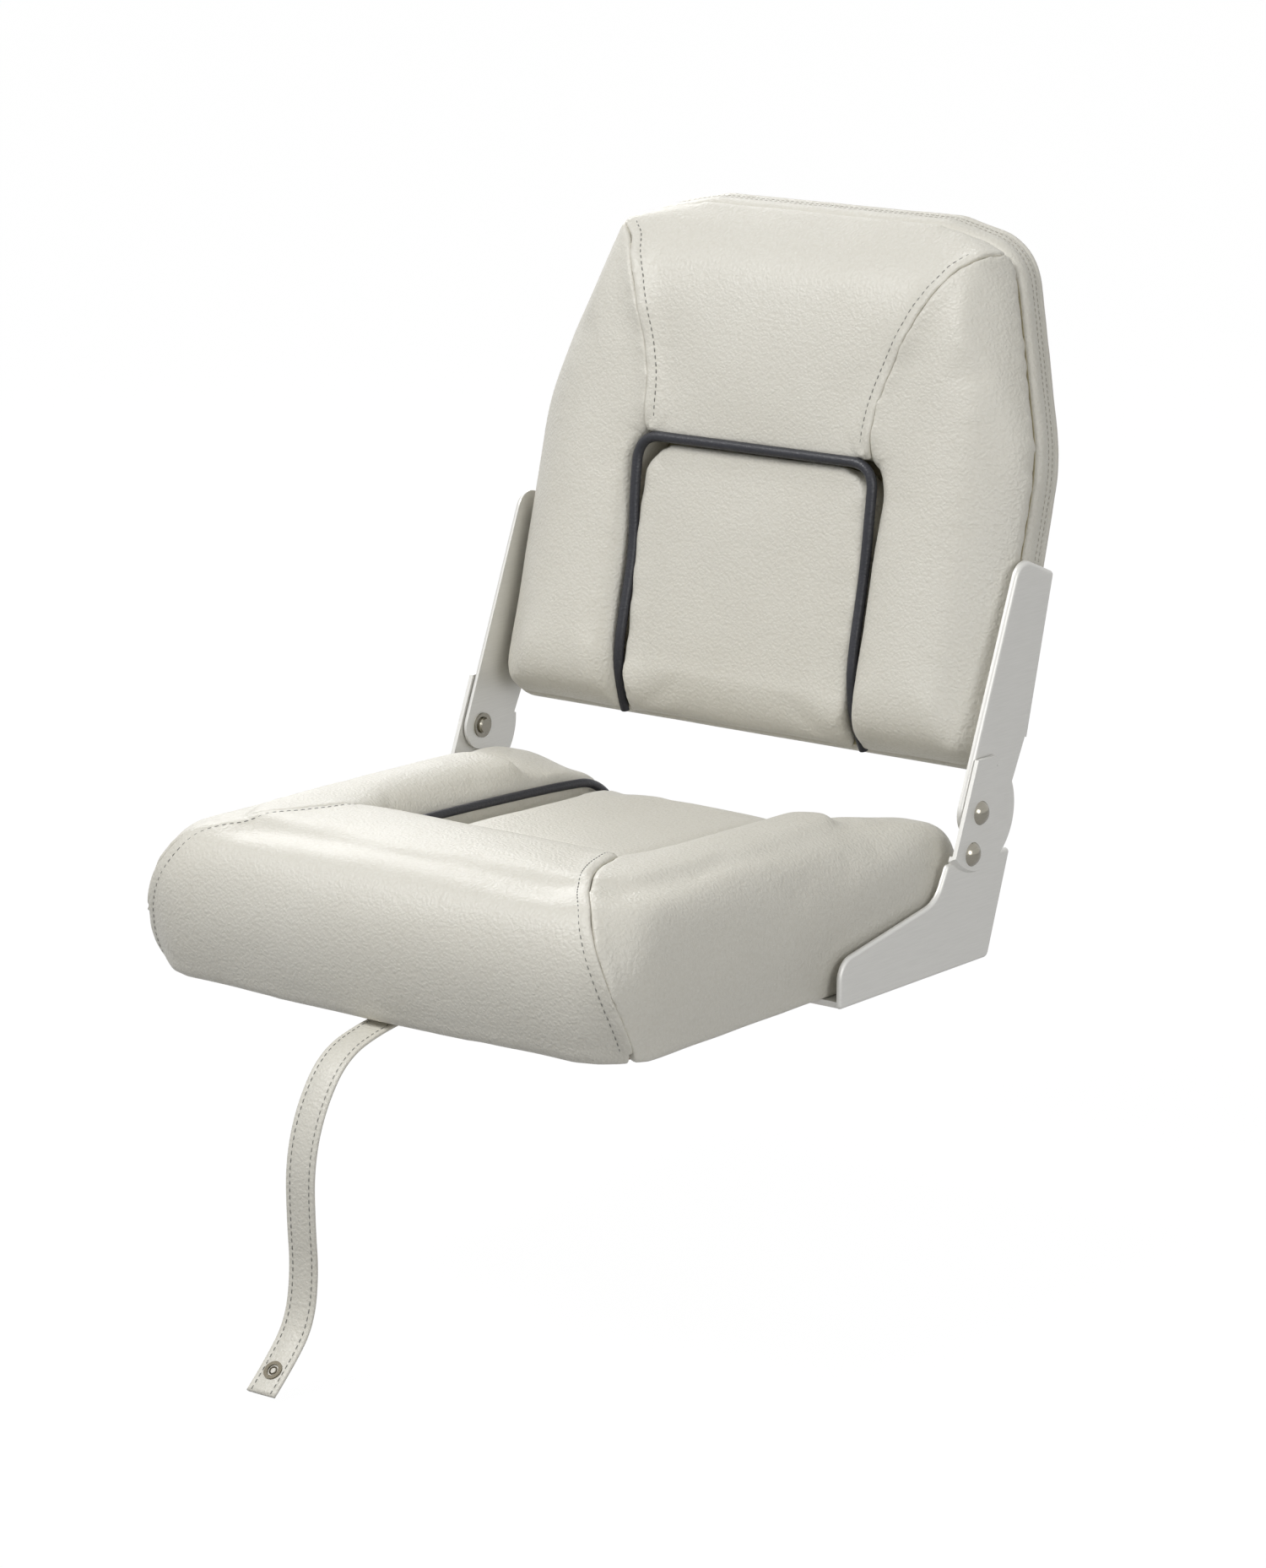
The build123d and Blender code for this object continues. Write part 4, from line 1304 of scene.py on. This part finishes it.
dress([*covers.values(), *laps, strap, band, rear_cover], ivory)
dress(pipes, navy)
dress([*grey_stitches, strap_stitches], grey_thread)
dress([band_stitches], ivory_thread)
dress([foam], foam_finish)
dress(named("hinge_"), aluminium)
dress(named("pivot_", "stop_rivet"), rivet_steel)
dress(named("bracket_screws", "arm_screws", "strap_screw", "strap_washer", "tee_nuts"), zinc)
dress(named("snap_"), nickel)
# The snap's well gets the nickel painted dark, as painted shade inside the socket.
dress([snap_well], nickel_painted_shade)
dress(named("stop_bush", "slide_washer"), nylon)
dress(named("seat_board", "back_board"), plywood)

# %% Round the edges of the hinge plates
for node in named("hinge_"):
    weld = node.modifiers.new("join", "WELD")
    weld.merge_threshold = 0.00002
    edge = node.modifiers.new("edge", "BEVEL")
    edge.width = 0.35 * MM
    edge.segments = 2
    edge.limit_method = "ANGLE"
    edge.angle_limit = math.radians(40)
print("plates with rounded edges:", len(named("hinge_")))

# %% [markdown]
# ## Studio
# The seat stands in front of white paper. The world looks white to the camera and in
# reflections, but gives the seat only a plain light, softer from below. The paper glows for the
# camera, so that it stays white round the shadow. A large lamp high in front at the left gives
# the rolls their bright tops, a weak one from the right fills the side, and a third lights the
# back. An image of a studio could light it too, but three lamps are easier to move.

# %% Helpers for light
def area_light(name, place, target, size, power):
    data = bpy.data.lights.new(name, "AREA")
    data.shape = "DISK"
    data.size = size
    data.energy = power
    aim(new_object(name, data), place, target)


camera_rays = ("Is Camera Ray", "Is Transmission Ray")
glossy_rays = ("Is Glossy Ray",)
seen_rays = camera_rays + glossy_rays


def seen_factor(tree, rays):
    """A factor that is 1 for rays of these kinds and 0 for all others."""
    path = add_node(tree, "LightPath", {})
    total = path.outputs[rays[0]]
    for ray in rays[1:]:
        total = math_node(tree, "MAXIMUM", total, path.outputs[ray])
    return total


def share_shaders(tree, share, first, second, output):
    """Sends a mix of two shaders to an output node."""
    mix = add_node(tree, "MixShader", {0: share, 1: first.outputs[0], 2: second.outputs[0]})
    tree.links.new(mix.outputs[0], tree.nodes[output].inputs["Surface"])


# %% World
world = bpy.data.worlds.new("studio")
bpy.context.scene.world = world
world.use_nodes = True
tree = world.node_tree
room = tree.nodes["Background"]
room.inputs["Color"].default_value = (1, 1, 1, 1)
around = add_node(tree, "TexCoord", {}).outputs["Generated"]
direction = add_node(tree, "SeparateXYZ", {0: around})
heights = {"Value": direction.outputs["Z"], "From Min": -0.2, "From Max": 1.0}
rise = add_node(tree, "MapRange", {**heights, "To Min": 0.08, "To Max": 0.38})
tree.links.new(rise.outputs["Result"], room.inputs["Strength"])
backdrop = add_node(tree, "Background", {"Color": (1, 1, 1, 1), "Strength": 1})
share_shaders(tree, seen_factor(tree, seen_rays), room, backdrop, "World Output")
print("world:", world.name)

# %% Floor
floor_level = -223.5 * MM
bm = bmesh.new()
bmesh.ops.create_grid(bm, x_segments=1, y_segments=1, size=30)
bmesh.ops.translate(bm, verts=bm.verts, vec=(0, 0, floor_level))
floor = make_piece(bm, "floor", smooth=False)
paper, tree, shader = new_material("white paper", (0.4, 0.4, 0.4, 1), 1.0)
glow = add_node(tree, "Emission", {"Strength": 1.06})
share = math_node(tree, "MULTIPLY", seen_factor(tree, camera_rays), 0.93)
glossy_share = math_node(tree, "MULTIPLY", seen_factor(tree, glossy_rays), 0.5)
share = math_node(tree, "MAXIMUM", share, glossy_share)
share_shaders(tree, share, shader, glow, "Material Output")
floor.data.materials.append(paper)
print("floor level, m:", floor_level)

# %% Lamps
area_light("key", (-1.0, -1.8, 2.75), (0, 0, 0.15), 1.4, 68)
area_light("right fill", (2.7, -1.05, 0.95), (0, 0, 0.2), 1.4, 24)
area_light("back left", (-2.4, 1.9, 1.7), (0, 0, 0.2), 1.5, 26)
bpy.context.scene.view_settings.view_transform = "Standard"
print("lamps:", len(bpy.data.lights))
